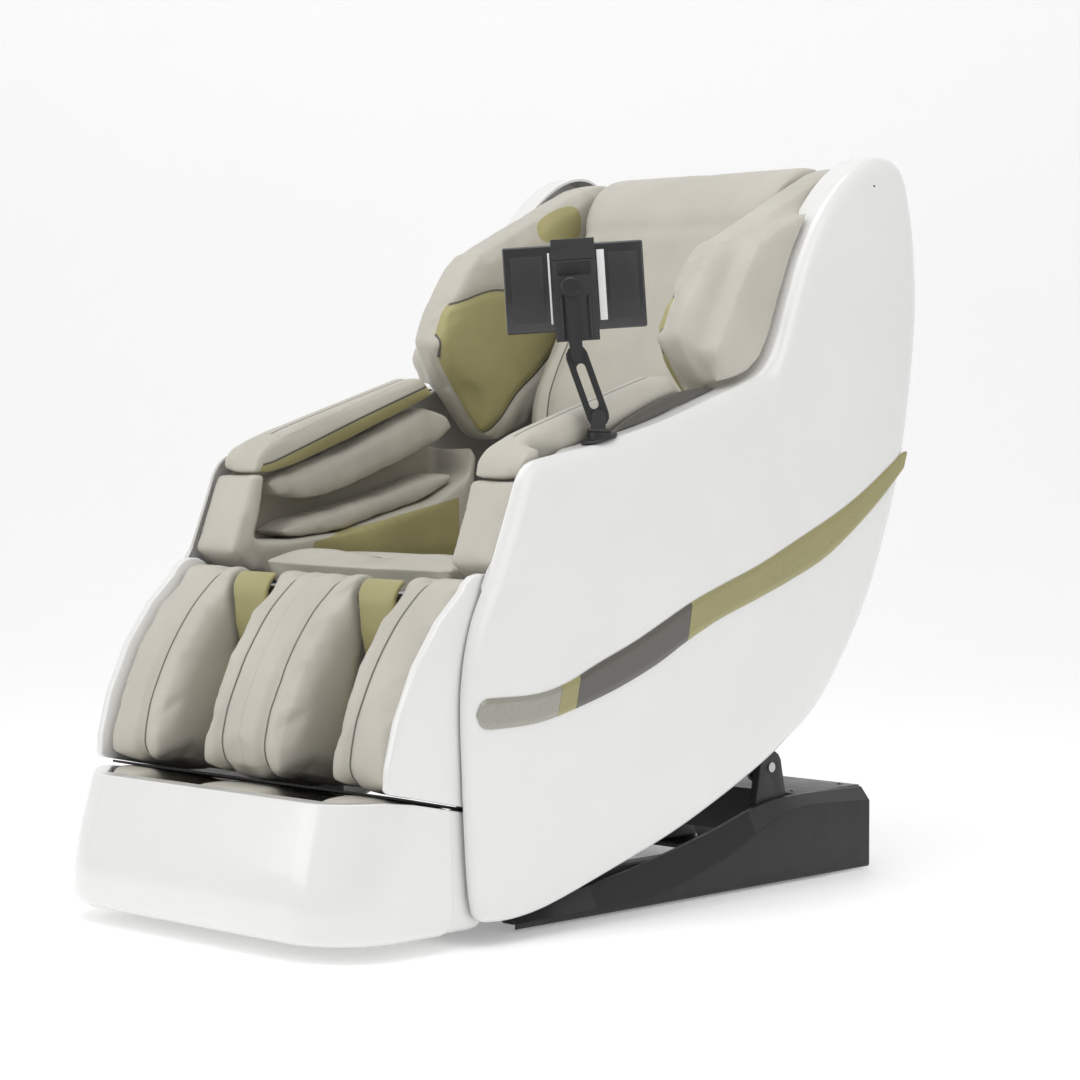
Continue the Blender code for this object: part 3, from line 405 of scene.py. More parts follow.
# ---------------------------------------------------------------- distances for seams
def segment_distance(y, z, points, closed=False):
    """Distance in the side view from each (y, z) to a line of points."""
    pts = points + [points[0]] if closed else points
    best = np.full(len(y), 1e9)
    for (ay, az), (by, bz) in zip(pts, pts[1:]):
        dy, dz = by - ay, bz - az
        t = np.clip(((y - ay) * dy + (z - az) * dz) / (dy * dy + dz * dz), 0, 1)
        best = np.minimum(best, np.hypot(y - ay - t * dy, z - az - t * dz))
    return best


def inside_outline(y, z, points):
    inside = np.zeros(len(y), bool)
    for (ay, az), (by, bz) in zip(points, points[1:] + [points[0]]):
        crosses = (az > z) != (bz > z)
        with np.errstate(divide="ignore", invalid="ignore"):
            at = ay + (z - az) * (by - ay) / (bz - az)
        inside ^= crosses & (y < at)
    return inside


def signed_distance(y, z, points):
    """Negative inside a closed outline."""
    line = smooth_line(points, 4)
    away = segment_distance(y, z, line, closed=True)
    return np.where(inside_outline(y, z, line), -away, away)


# ---------------------------------------------------------------- upholstery
def coordinates(mesh):
    flat = np.empty(len(mesh.vertices) * 3)
    mesh.vertices.foreach_get("co", flat)
    return flat.reshape(-1, 3)


def vertex_normals(mesh):
    flat = np.empty(len(mesh.vertices) * 3)
    mesh.vertices.foreach_get("normal", flat)
    return flat.reshape(-1, 3)


def put_coordinates(mesh, points):
    mesh.vertices.foreach_set("co", points.reshape(-1))
    mesh.update()


def relax(mesh, rounds, factor=0.5):
    """Evens out a mesh, so that its corners become round."""
    count = len(mesh.vertices)
    ends = np.empty(len(mesh.edges) * 2, int)
    mesh.edges.foreach_get("vertices", ends)
    a, b = ends.reshape(-1, 2).T
    degree = np.bincount(np.r_[a, b], minlength=count)[:, None]
    points = coordinates(mesh)
    for _ in range(rounds):
        total = np.zeros_like(points)
        np.add.at(total, a, points[b])
        np.add.at(total, b, points[a])
        points = points + factor * (total / degree - points)
    put_coordinates(mesh, points)


def swell(obj, cap, pressure=4.0):
    """Blows the pad up with cloth and keeps every point within cap of where it was."""
    rest = coordinates(obj.data)
    scene = bpy.context.scene
    cloth = obj.modifiers.new("stuffing", "CLOTH")
    cloth.settings.use_pressure = True
    cloth.settings.uniform_pressure_force = pressure
    cloth.settings.effector_weights.gravity = 0.0
    cloth.settings.tension_stiffness = 18
    cloth.settings.compression_stiffness = 18
    cloth.settings.bending_stiffness = 0.6
    cloth.settings.quality = 4
    cloth.collision_settings.use_collision = False
    cloth.collision_settings.use_self_collision = False
    for step in range(1, 21):
        scene.frame_set(step)
    graph = bpy.context.evaluated_depsgraph_get()
    blown = bpy.data.meshes.new_from_object(obj.evaluated_get(graph))
    moved = coordinates(blown) - rest
    obj.modifiers.clear()
    bpy.data.meshes.remove(blown)
    scene.frame_set(1)
    length = np.linalg.norm(moved, axis=1, keepdims=True) + 1e-9
    put_coordinates(obj.data, rest + moved / length * cap * np.tanh(length / cap))


def pad(name, bm, voxel=0.006, start_in=0.003, rounds=6, cap=0.006, shape=None, seams=None,
        panel=None, levels=1):
    """A stuffed piece from a closed block: remeshed, blown up, then sewn.

    shape(points, normals) returns moved points, for the channels and tucks; seams(points)
    the distance to the nearest seam; panel(points) is below zero on the accent panels.
    """
    obj = to_object(name, bm, LEATHER, angle=None)
    mod = obj.modifiers.new("even", "REMESH")
    mod.mode = "VOXEL"
    mod.voxel_size = voxel
    bake(obj)
    relax(obj.data, rounds)
    start = coordinates(obj.data) - vertex_normals(obj.data) * start_in
    put_coordinates(obj.data, start)
    swell(obj, cap)
    relax(obj.data, 2)
    points = coordinates(obj.data)
    if shape:
        points = shape(points, vertex_normals(obj.data))
        put_coordinates(obj.data, points)
    for attribute, rule in (("seam", seams), ("panel", panel)):
        values = rule(points) if rule else np.ones(len(points))
        layer = obj.data.attributes.new(attribute, "FLOAT", "POINT")
        layer.data.foreach_set("value", np.asarray(values, float))
    obj.data.shade_smooth()
    if levels:
        add_subdivision(obj, levels)
    return obj


def both_pads(name, node, body, slot, fill, **kind):
    """The left pad is made, the right one is its mirror image."""
    left = pad(name + "_left", node_copy(node + "_left"), **kind)
    right = mirrored(left, name + "_right")
    for obj, side in ((left, "_left"), (right, "_right")):
        finish(obj, body, node + side, slot=slot)
    return left, right


def groove(points, normals, away, depth, width):
    """Pulls the surface in along a channel: away is the distance to its line."""
    return points - normals * (depth * np.exp(-(away / width) ** 2))[:, None]


# ---------------------------------------------------------------- side shells
OUTLINE = even_line(smooth_line(SHELL_OUTLINE, 6), 0.012, closed=True)


def outline_normals(line):
    pts = np.array(line)
    run = np.roll(pts, -1, axis=0) - np.roll(pts, 1, axis=0)
    run /= np.linalg.norm(run, axis=1, keepdims=True)
    area = np.sum(np.roll(pts[:, 0], 1) * pts[:, 1] - pts[:, 0] * np.roll(pts[:, 1], 1))
    return np.stack([run[:, 1], -run[:, 0]], axis=1) * (1 if area > 0 else -1)


OUT_NORMALS = outline_normals(OUTLINE)
OUT_ANGLE = np.arctan2([z - SHELL_CENTRE[1] for y, z in OUTLINE], [y - SHELL_CENTRE[0] for y, z in OUTLINE])
OUT_RADIUS = np.hypot([z - SHELL_CENTRE[1] for y, z in OUTLINE], [y - SHELL_CENTRE[0] for y, z in OUTLINE])
ANGLE_ORDER = np.argsort(OUT_ANGLE)


def ease(value, start, end):
    part = min(max((value - start) / (end - start), 0.0), 1.0)
    return part * part * (3 - 2 * part)


def rim_edge_x(y, z):
    """How far the rim turns inwards: a little at the front, more along arm, wing and back."""
    front = FRONT_EDGE_X + (CORNER_EDGE_X - FRONT_EDGE_X) * ease(z, 0.46, 0.52)
    along = ease(y, -0.215, -0.155) if z > 0.60 else ease(y, 0.10, 0.28)
    return front + (TRAY_EDGE_X - front) * along


def shell_x(y, z):
    """The shell's outer face: flat in the middle, falling away softly near its rim."""
    angle = math.atan2(z - SHELL_CENTRE[1], y - SHELL_CENTRE[0])
    reach = np.interp(angle, OUT_ANGLE[ANGLE_ORDER], OUT_RADIUS[ANGLE_ORDER], period=2 * math.pi)
    part = min(math.hypot(y - SHELL_CENTRE[0], z - SHELL_CENTRE[1]) / reach, 1.0)
    return SHELL_X + SHELL_FLARE * y + 0.002 - 0.006 * part ** 6


def build_shell():
    """The rim is a quarter ellipse, deeper along the face than across it."""
    rim_in, rim_out, wall = 0.027, 0.0125, 0.004
    bm = bmesh.new()
    rings = [[(rim_edge_x(y, z), y, z) for y, z in OUTLINE]]

    def ring(inset, drop):
        points = []
        for (y, z), n in zip(OUTLINE, OUT_NORMALS):
            py, pz = y - n[0] * inset, z - n[1] * inset
            points.append((shell_x(py, pz) - drop, py, pz))
        return points

    for degrees in range(0, 91, 9):
        a = math.radians(degrees)
        rings.append(ring(rim_in * (1 - math.cos(a)), rim_out * (1 - math.sin(a))))
    last = rings[-1]
    for step in range(1, 24):
        s = 1 - step / 24
        ring_points = []
        for x, y, z in last:
            py = SHELL_CENTRE[0] + (y - SHELL_CENTRE[0]) * s
            pz = SHELL_CENTRE[1] + (z - SHELL_CENTRE[1]) * s
            ring_points.append((shell_x(py, pz), py, pz))
        rings.append(ring_points)
    made = [[bm.verts.new(p) for p in points] for points in rings]
    for a, b in zip(made, made[1:]):
        ring_faces(bm, a, b)
    pole = bm.verts.new((shell_x(*SHELL_CENTRE), *SHELL_CENTRE))
    for i in range(len(OUTLINE)):
        bm.faces.new((made[-1][i], made[-1][(i + 1) % len(OUTLINE)], pole))
    obj = to_object("shell_left", bm, PEARL, angle=None)
    mod = obj.modifiers.new("wall", "SOLIDIFY")
    mod.thickness = wall
    mod.offset = -1.0
    bake(obj)
    obj.data.shade_smooth()
    obj.data.set_sharp_from_angle(angle=math.radians(60))
    finish(obj, "cocoon", "side_shell_left", slot="pearl_white")
    finish(mirrored(obj, "shell_right"), "cocoon", "side_shell_right", slot="pearl_white")

    cap = turned([(-0.001, 0.0), (-0.001, 0.0075), (0.0012, 0.0075), (0.0022, 0.0060), (0.0026, 0.0)])
    bmesh.ops.scale(cap, vec=(1, 0.75, 1), verts=cap.verts)
    bmesh.ops.rotate(cap, cent=(0, 0, 0), matrix=Matrix.Rotation(-0.35, 3, "Y"), verts=cap.verts)
    bmesh.ops.translate(cap, vec=(shell_x(0.502, 1.118) - 0.0035, 0.502, 1.118), verts=cap.verts)
    plug = to_object("rim_plug_left", cap, DARK)
    finish(plug, "cocoon", slot="dark_plastic")
    finish(mirrored(plug, "rim_plug_right"), "cocoon", slot="dark_plastic")


BAND_LOW = [(-0.352, 0.309), (-0.268, 0.311), (-0.196, 0.324), (-0.100, 0.349), (-0.012, 0.380),
            (0.055, 0.411), (0.130, 0.441), (0.218, 0.468), (0.300, 0.495), (0.390, 0.531),
            (0.500, 0.600), (0.585, 0.664)]
BAND_HIGH = [(-0.352, 0.354), (-0.264, 0.354), (-0.201, 0.366), (-0.138, 0.390), (-0.051, 0.421),
             (0.060, 0.468), (0.140, 0.495), (0.222, 0.521), (0.320, 0.560), (0.415, 0.599),
             (0.490, 0.637), (0.580, 0.690)]


def band_edges(y):
    low = smooth_line(BAND_LOW, 4, closed=False)
    high = smooth_line(BAND_HIGH, 4, closed=False)
    return (np.interp(y, *zip(*low)), np.interp(y, *zip(*high)))


def band_piece(name, y0, y1, mat, nose=False, rise=0.0020):
    """A stretch of the inlaid band, a little proud of the shell, with its edges rolled."""
    bm = bmesh.new()
    columns = []
    count = max(int((y1 - y0) / 0.006), 6)
    for i in range(count + 1):
        y = y0 + (y1 - y0) * i / count
        column = []
        for k in range(11):
            v = k / 10
            lean = 0.010 * (v - 0.5)
            yy = y + (lean * i / count if nose else lean)
            low, high = band_edges(yy)
            middle, half = (low + high) / 2, (high - low) / 2 * 0.98
            if nose:
                part = (yy - y0) / 0.024
                if part < 1:
                    half *= math.sqrt(max(1 - (1 - part) ** 2, 0.0004))
            z = middle + half * (2 * v - 1)
            edge = min(v, 1 - v) / 0.1
            lift = rise * min(edge, 1.0)
            column.append((shell_x(yy, z) + 0.0012 + lift, yy, z))
        columns.append(column)
    made = [[bm.verts.new(p) for p in column] for column in columns]
    for a, b in zip(made, made[1:]):
        ring_faces(bm, a, b, closed=False)
    obj = to_object(name + "_left", bm, mat, angle=None)
    mod = obj.modifiers.new("wall", "SOLIDIFY")
    mod.thickness = 0.0015
    mod.offset = -1.0
    bake(obj)
    obj.data.shade_smooth()
    obj.data.set_sharp_from_angle(angle=math.radians(50))
    return obj


def build_bands():
    pieces = (("band_nose", -0.376, -0.2165, SILVER_BAND, True, "shell_band"),
              ("band_khaki_tab", -0.2160, -0.1795, KHAKI_BAND, False, None),
              ("band_dark", -0.1790, 0.0595, DARK_BAND, False, None),
              ("band_khaki", 0.0600, 0.585, KHAKI_BAND, False, "shell_accent"))
    for name, y0, y1, mat, nose, node in pieces:
        left = band_piece(name, y0, y1, mat, nose)
        right = mirrored(left, name + "_right")
        slot = "khaki_band" if "khaki" in name else "band_silver"
        finish(left, "cocoon", *((node + "_left",) if node else ()), slot=slot)
        finish(right, "cocoon", *((node + "_right",) if node else ()), slot=slot)


# ---------------------------------------------------------------- arms
ARM_KHAKI = [(-0.300, 0.640), (-0.240, 0.655), (-0.194, 0.668), (-0.067, 0.712), (0.089, 0.770),
             (0.130, 0.790), (0.100, 0.800), (0.089, 0.795), (-0.066, 0.741), (-0.194, 0.694),
             (-0.250, 0.674), (-0.300, 0.664)]
TOP_LINE = [(-0.120, 0.709), (0.010, 0.739), (0.130, 0.776), (0.220, 0.806)]
LEAF = [(0.123, 0.913), (0.180, 0.940), (0.251, 0.957), (0.330, 0.945), (0.372, 0.918),
        (0.397, 0.876), (0.350, 0.825), (0.296, 0.785), (0.222, 0.715), (0.165, 0.780),
        (0.128, 0.835)]


WING_PATCH = [(0.352, 1.070), (0.392, 1.096), (0.442, 1.104), (0.444, 1.052), (0.360, 1.042)]


def build_arms():
    def crown_line(p):
        behind = (p[:, 1] > -0.225) & (p[:, 2] > 0.705 + 0.28 * (p[:, 1] + 0.23))
        return only(behind, p[:, 0] - 0.268)

    def top_seams(p):
        khaki = signed_distance(p[:, 1], p[:, 2], ARM_KHAKI)
        return nearest(only((p[:, 0] < 0.262) & (p[:, 1] > -0.266), khaki), crown_line(p))

    def top_panel(p):
        khaki = signed_distance(p[:, 1], p[:, 2], ARM_KHAKI)
        return np.maximum.reduce([khaki, p[:, 0] - 0.262, -0.266 - p[:, 1]])

    def top_shape(p, n):
        low = np.clip((-0.235 - p[:, 1]) / 0.03, 0, 1) * np.clip((0.680 - p[:, 2]) / 0.012, 0, 1)
        p = p - np.stack([0 * low, 0 * low, 0.0045 * low], axis=1)
        away = np.abs(crown_line(p)) + np.where(n[:, 2] > 0.3, 0, 1)
        return groove(p, n, away, 0.0024, 0.004)

    both_pads("arm_crown", "arm_top_pad", "cocoon", "warm_leather", 0.9, voxel=0.0045,
              start_in=0.001, rounds=12, cap=0.005, shape=top_shape, seams=top_seams, panel=top_panel)

    # Painted shade: a dark lens-shaped strip between the shell's rim and the crown pad, standing in for the
    # shadowed gap there.
    lens = []
    for i in range(25):
        y = -0.062 + 0.232 * i / 24
        lens.append((y, float(np.interp(y, *zip(*TOP_LINE))) + 0.0012))
    over = [(y, z + 0.021 * math.sin(math.pi * min(max((y + 0.062) / 0.232, 0), 1)) ** 0.8)
            for y, z in reversed(lens[1:-1])]
    gap_shade = to_object("arm_bezel_left", prism(lens + over, 0.3045, 0.3125), DARK_BAND)
    bevel(gap_shade, 0.0012, 2)
    finish(gap_shade, "cocoon", slot="dark_plastic")
    finish(mirrored(gap_shade, "arm_bezel_right"), "cocoon", slot="dark_plastic")

    def body_panel(p):
        middle = np.minimum(p[:, 1] + 0.16, 0.16 - p[:, 1])
        return np.maximum(-middle, p[:, 2] - 0.560 - 0.20 * (p[:, 1] + 0.10))

    def body_seams(p):
        return only(p[:, 0] > 0.315, p[:, 1] + 0.276 - (p[:, 2] - 0.60) * 0.30)

    def body_shape(p, n):
        low = np.clip((0.535 - p[:, 2]) / 0.02, 0, 1) * np.clip((p[:, 1] + 0.265) / 0.02, 0, 1)
        return p - np.stack([0 * low, 0 * low, 0.014 * low], axis=1)

    both_pads("arm_lining", "arm_body", "cocoon", "warm_leather", 0.8, voxel=0.005, start_in=0.001,
              rounds=5, cap=0.002, shape=body_shape, panel=body_panel, seams=body_seams)

    def lobe_wrinkles(p, n):
        wave = np.sin(p[:, 1] * 95 + p[:, 0] * 40) * np.sin(p[:, 1] * 31 + 1.3)
        return p + n * (0.0012 * wave)[:, None]

    both_pads("arm_bag_upper", "arm_airbag_upper", "cocoon", "warm_leather", 0.7, voxel=0.005,
              start_in=0.004, rounds=10, cap=0.006, shape=lobe_wrinkles)

    both_pads("arm_bag_lower", "arm_airbag_lower", "cocoon", "warm_leather", 0.7, voxel=0.005,
              start_in=0.003, rounds=10, cap=0.005, shape=lobe_wrinkles)


def build_wings():
    def leaf_distance(p):
        return signed_distance(p[:, 1], p[:, 2], LEAF)

    def wing_panel(p):
        upper = signed_distance(p[:, 1], p[:, 2], WING_PATCH)
        return np.maximum(np.minimum(leaf_distance(p), upper), p[:, 0] - 0.252)

    def wing_seams(p):
        return only(p[:, 0] < 0.252, leaf_distance(p))

    def wing_shape(p, n):
        p = p + np.stack([0 * p[:, 0], 0 * p[:, 0], 0.007 * np.clip((p[:, 2] - 1.02) / 0.09, 0, 1)], axis=1)
        leaf = np.where(p[:, 0] < 0.262, np.abs(leaf_distance(p)), 1.0)
        return groove(p, n, leaf, 0.004, 0.006)

    both_pads("wing_pad", "shoulder_pad", "cocoon", "khaki_leather", 0.85, voxel=0.006,
              start_in=0.004, rounds=9, cap=0.009, shape=wing_shape, seams=wing_seams,
              panel=wing_panel)


# ---------------------------------------------------------------- seat and back
def build_side_plates():
    """The steel side plates, cut down along the seat to below the top of its cushion."""
    for side in ("left", "right"):
        bm = node_copy("side_plate_" + side)
        for vert in bm.verts:
            if vert.co.z > 0.480 and vert.co.z < 0.545 and vert.co.y < 0.25:
                vert.co.z = 0.478
        bmesh.ops.dissolve_limit(bm, angle_limit=math.radians(1), verts=bm.verts, edges=bm.edges)
        obj = to_object("side_plate_finished_" + side, bm, STEEL_PAINT)
        bevel(obj, 0.0008, 2)
        finish(obj, "cocoon", "side_plate_" + side, slot="frame_steel")


def build_seat():
    def seat_shape(p, n):
        top = n[:, 2] > 0.2
        x, y = np.abs(p[:, 0]), p[:, 1]
        sides = np.abs(x - 0.165) + np.where(top & (y > -0.22), 0, 1)
        across = np.abs(y + 0.225 - 0.06 * (x / 0.22) ** 2) + np.where(top, 0, 1)
        p = groove(p, n, sides, 0.007, 0.010)
        return groove(p, n, across, 0.008, 0.012)

    def seat_seams(p):
        x, y = np.abs(p[:, 0]), p[:, 1]
        top = p[:, 2] > 0.47
        sides = only(top & (y > -0.22), x - 0.165)
        return nearest(sides, only(top, y + 0.225 - 0.06 * (x / 0.22) ** 2))

    seat = pad("seat_pad", node_copy("seat_cushion"), voxel=0.008, start_in=0.006, rounds=6,
               cap=0.016, shape=seat_shape, seams=seat_seams)
    finish(seat, "cocoon", "seat_cushion", slot="warm_leather")

    def back_lines(p):
        x = np.abs(p[:, 0])
        z = p[:, 2]
        return np.abs(x - (0.118 + 0.030 * np.sin((z - 0.5) * 4.8)))

    def back_front(p, n):
        return (n[:, 1] < -0.15) & (p[:, 2] < 1.04)

    def back_shape(p, n):
        away = back_lines(p) + np.where(back_front(p, n), 0, 1)
        p = groove(p, n, away, 0.006, 0.012)
        hood = np.abs(p[:, 2] - 1.055 + (p[:, 1] - 0.42) * 0.2) + np.where(n[:, 1] < -0.1, 0, 1)
        return groove(p, n, hood, 0.003, 0.014)

    def back_seams(p):
        front = p[:, 1] < np.interp(p[:, 2], [0.5, 0.7, 0.9, 1.05, 1.15], [0.29, 0.30, 0.375, 0.44, 0.50])
        x, z = np.abs(p[:, 0]), p[:, 2]
        return only(front & (z < 1.0), x - (0.118 + 0.030 * np.sin((z - 0.5) * 4.8)))

    back = pad("back_pad", node_copy("back_cushion"), voxel=0.008, start_in=0.004, rounds=6,
               cap=0.016, shape=back_shape, seams=back_seams)
    finish(back, "cocoon", "back_cushion", slot="warm_leather")

    cover = node_copy("rear_cover")
    bmesh.ops.dissolve_limit(cover, angle_limit=math.radians(1), verts=cover.verts, edges=cover.edges)
    obj = to_object("back_panel", cover, PEARL)
    bevel(obj, 0.0012, 2)
    finish(obj, "cocoon", "rear_cover", slot="pearl_white")


# ---------------------------------------------------------------- leg rest
def build_leg_rest():
    def calf_kind(*creases):
        def shape(p, n):
            front = n[:, 1] < 0.3
            for crease in creases:
                away = np.abs(p[:, 0] - crease) + np.where(front, 0, 1)
                p = groove(p, n, away, 0.010, 0.010)
            return p

        def seams(p):
            return only(p[:, 1] < -0.345, nearest(*[p[:, 0] - crease for crease in creases]))
        return dict(shape=shape, seams=seams, voxel=0.006, start_in=0.004, rounds=8, cap=0.009)

    left = pad("calf_roll_left", node_copy("calf_pad_left"), **calf_kind(0.228))
    right = mirrored(left, "calf_roll_right")
    for obj, node in ((left, "calf_pad_left"), (right, "calf_pad_right")):
        finish(obj, "leg_rest", node, slot="warm_leather")
    middle = pad("calf_roll_centre", node_copy("calf_pad_centre"), **calf_kind(-0.047, 0.047))
    finish(middle, "leg_rest", "calf_pad_centre", slot="warm_leather")
    hard_piece("leg_shell", PEARL, "leg_rest", 0.003, 3)
    # Painted shadow: a dark rubber strip fills the gap between leg rest and foot unit, standing in for the
    # shadow line there and hiding the bright floor behind.
    shadow_strip = prism([(-0.503, 0.2256), (-0.356, 0.1943), (-0.356, 0.1908), (-0.503, 0.2222)], -0.313, 0.313)
    finish(to_object("calf_gasket", shadow_strip, RUBBER), "leg_rest", slot="rubber")

    def liner_panel(p):
        return -np.ones(len(p))

    outer = arc(LEG_PIVOT, 0.034, 105, 200, 7)
    outer += [(-0.375, 0.440), (-0.366, 0.400), (-0.366, 0.340), (-0.368, 0.280), (-0.370, 0.236)]
    inner = arc(LEG_PIVOT, 0.0235, 105, 200, 7)
    inner += [(-0.364, 0.440), (-0.352, 0.400), (-0.351, 0.340), (-0.353, 0.280), (-0.356, 0.236)]
    for side, sign in (("left", 1), ("right", -1)):
        x0, x1 = sorted((sign * 0.098, sign * 0.182))
        liner = pad("calf_liner_" + side, prism(outer + inner[::-1], x0, x1), voxel=0.004,
                    start_in=0.001, rounds=4, cap=0.003, panel=liner_panel, levels=0)
        finish(liner, "leg_rest", slot="khaki_leather")


def foot_plan(half, front, radius, inset):
    """Plan outline of the foot unit: round front corners, a narrower tail."""
    half, front = half - inset, front + inset
    back, tail_half, tail = -0.408 - inset, FOOT_TAIL_HALF - inset, -0.338 - inset
    left = arc((half - radius, front + radius), radius, -90, 0, 16)
    right = arc((-half + radius, front + radius), radius, 180, 270, 16)
    return left + [(half, back), (tail_half, back), (tail_half, tail),
                   (-tail_half, tail), (-tail_half, back), (-half, back)] + right


def build_foot_unit():
    levels = [(0.022, 0.331, -0.622, 0.020), (0.0235, 0.331, -0.622, 0.013),
              (0.028, 0.331, -0.622, 0.007), (0.036, 0.331, -0.622, 0.002),
              (0.050, 0.331, -0.622, 0.0), (0.085, 0.3307, -0.619, 0.0), (0.120, 0.3295, -0.612, 0.0),
              (0.155, 0.3283, -0.603, 0.0), (0.190, 0.3265, -0.593, 0.0), (0.260, 0.3235, -0.573, 0.0)]
    bm = bmesh.new()
    loft(bm, [[(x, y, z) for x, y in foot_plan(half, front, 0.11, inset)]
              for z, half, front, inset in levels])
    obj = to_object("foot_body", bm, PEARL, angle=None)
    over = prism([(-0.70, 0.214), (-0.520, 0.219), (-0.475, 0.213), (-0.345, 0.1865), (-0.25, 0.166),
                  (-0.25, 0.40), (-0.70, 0.40)], -0.5, 0.5)
    plan = [(LEG_WELL, -0.350), (LEG_WELL, -0.505), (0.250, -0.560)]
    plan += [(-x, y) for x, y in reversed(plan)]
    well = bmesh.new()
    loft(well, [[(x, y, 0.050) for x, y in plan], [(x, y, 0.35) for x, y in plan]])
    for tool_mesh in (over, well):
        tool = to_object("foot_tool", tool_mesh, PEARL, smooth=False)
        mod = obj.modifiers.new("cut", "BOOLEAN")
        mod.operation = "DIFFERENCE"
        mod.solver = "EXACT"
        mod.object = tool
        bake(obj)
        bpy.data.objects.remove(tool, do_unlink=True)
    bevel(obj, 0.0045, 4, angle=38)
    even = obj.modifiers.new("even_normals", "WEIGHTED_NORMAL")
    even.keep_sharp = True
    bake(obj)
    finish(obj, "foot_unit", "foot_shell", slot="pearl_white")

    def liner_panel(p):
        x = np.abs(p[:, 0])
        low = p[:, 2] - 0.165
        return np.maximum(low, np.abs(x - 0.1375) - 0.085)

    liner = pad("foot_lining", node_copy("foot_liner"), voxel=0.006, start_in=0.001, rounds=5,
                cap=0.004, panel=liner_panel)
    finish(liner, "foot_unit", "foot_liner", slot="warm_leather")
    for side in ("left", "right"):
        hard_piece("foot_roller_" + side, DARK, "foot_roller_" + side[0], 0.0006, 2)


# ---------------------------------------------------------------- base
def build_base():
    stations = [(-0.235, 0.012, 0.028), (-0.080, 0.014, 0.045), (0.060, 0.018, 0.066),
                (0.222, 0.056, 0.100), (0.330, 0.098, 0.128), (0.420, 0.120, 0.137),
                (0.597, 0.114, 0.135)]
    line = smooth_line(stations, 8, closed=False)
    rings = []
    for y, side, top in line:
        wall = 0.003
        outer = [(0.283, 0.004), (0.285, 0.007), (0.285, side - 0.003), (0.2844, side)]
        outer += [(0.2675, top - 0.0006), (0.262, top)]
        inner = [(0.262, top - wall), (0.2645, top - wall), (0.2818, side - 0.0015), (0.2815, 0.004)]
        rings.append([(x, y, z) for x, z in outer + inner])
    bm = bmesh.new()
    loft(bm, rings)
    obj = to_object("base_skirt_left", bm, [BLACK, TOP_BLACK], angle=25)
    for face in obj.data.polygons:
        if face.normal.z > 0.45:
            face.material_index = 1
    finish(obj, "base", "base_cover_left", slot="black_plastic")
    finish(mirrored(obj, "base_skirt_right"), "base", "base_cover_right", slot="black_plastic")
    for side in ("left", "right"):
        hard_piece("base_rail_" + side, STEEL_PAINT, "base", 0.0015, 2)
    hard_piece("rear_housing", TOP_BLACK, "base", 0.006, 3)
    hard_piece("power_inlet", DARK, "base", 0.0008, 2)
    hard_piece("power_rocker", RUBBER, "rocker", 0.0005, 2)


# ---------------------------------------------------------------- tablet arm
def place(bm):
    """From the tablet arm's own frame (t, u, z) to the chair's."""
    spin = Matrix.Rotation(HOLDER_TURN, 3, "Z")
    bmesh.ops.rotate(bm, cent=(0, 0, 0), matrix=spin, verts=bm.verts)
    bmesh.ops.translate(bm, verts=bm.verts, vec=(HOLDER[0], HOLDER[1], 0))
    return bm


def lean(bm):
    """The tablet and its clamp lean a little about the head's hinge."""
    spin = Matrix.Rotation(HEAD_TILT, 3, "X")
    bmesh.ops.rotate(bm, cent=(0, *HEAD_HINGE), matrix=spin, verts=bm.verts)
    return place(bm)


def block(x0, x1, y0, y1, z0, z1):
    return prism([(y0, z0), (y1, z0), (y1, z1), (y0, z1)], x0, x1)


def build_holder():
    hard_piece("holder_base", BLACK, "cocoon", 0.0012, 3)
    hard_piece("holder_foot", DARK, "holder_turntable", 0.0008, 3)
    hard_piece("holder_lower_link", BLACK, "holder_lower", 0.0012, 3)
    hard_piece("holder_upper_link", BLACK, "holder_upper", 0.0010, 3)
    hard_piece("clamp_back", DARK, "holder_head", 0.0012, 3)
    hard_piece("clamp_jaw", DARK, "holder_jaw", 0.0010, 3)
    hard_piece("control_tablet", GLASS, "holder_head", 0.0010, 3)
    u, z = HEAD_HINGE
    centre = u + TABLET_SHIFT

    flat_parts = (
        ("tablet_strip_wide", (-0.0128, -0.0112), (0.0345, 0.0455), (-0.050, 0.053), LIGHT_STRIP,
         "band_silver"),
        ("tablet_strip_thin", (-0.0128, -0.0112), (-0.0375, -0.0345), (-0.052, 0.052), LIGHT_STRIP,
         "band_silver"),
        ("tablet_panel_a", (-0.0128, -0.0118), (0.051, 0.094), (-0.048, 0.048), DARK, "glass_black"),
        ("tablet_panel_b", (-0.0128, -0.0118), (-0.092, -0.045), (-0.048, 0.048), DARK, "glass_black"),
        ("clamp_pad", (-0.0078, -0.0058), (-0.024, 0.024), (0.019, 0.037), RUBBER, "rubber"))
    for name, (t0, t1), (u0, u1), (z0, z1), mat, slot in flat_parts:
        part = lean(block(t0, t1, centre + u0, centre + u1, z + z0, z + z1))
        obj = to_object(name, part, mat)
        bevel(obj, 0.0008 if name == "clamp_pad" else 0.0005, 2)
        finish(obj, "holder_head", slot=slot)
    for k, offset in enumerate((-0.020, 0.020)):
        bar = turned([(-0.0315, 0.0), (-0.0315, 0.0028), (0.0315, 0.0028), (0.0315, 0.0)], "Z", 20)
        bmesh.ops.translate(bar, verts=bar.verts, vec=(-0.0060, centre + offset, z - 0.045))
        obj = to_object("clamp_bar_%d" % k, lean(bar), DARK)
        finish(obj, "holder_head", slot="dark_plastic")


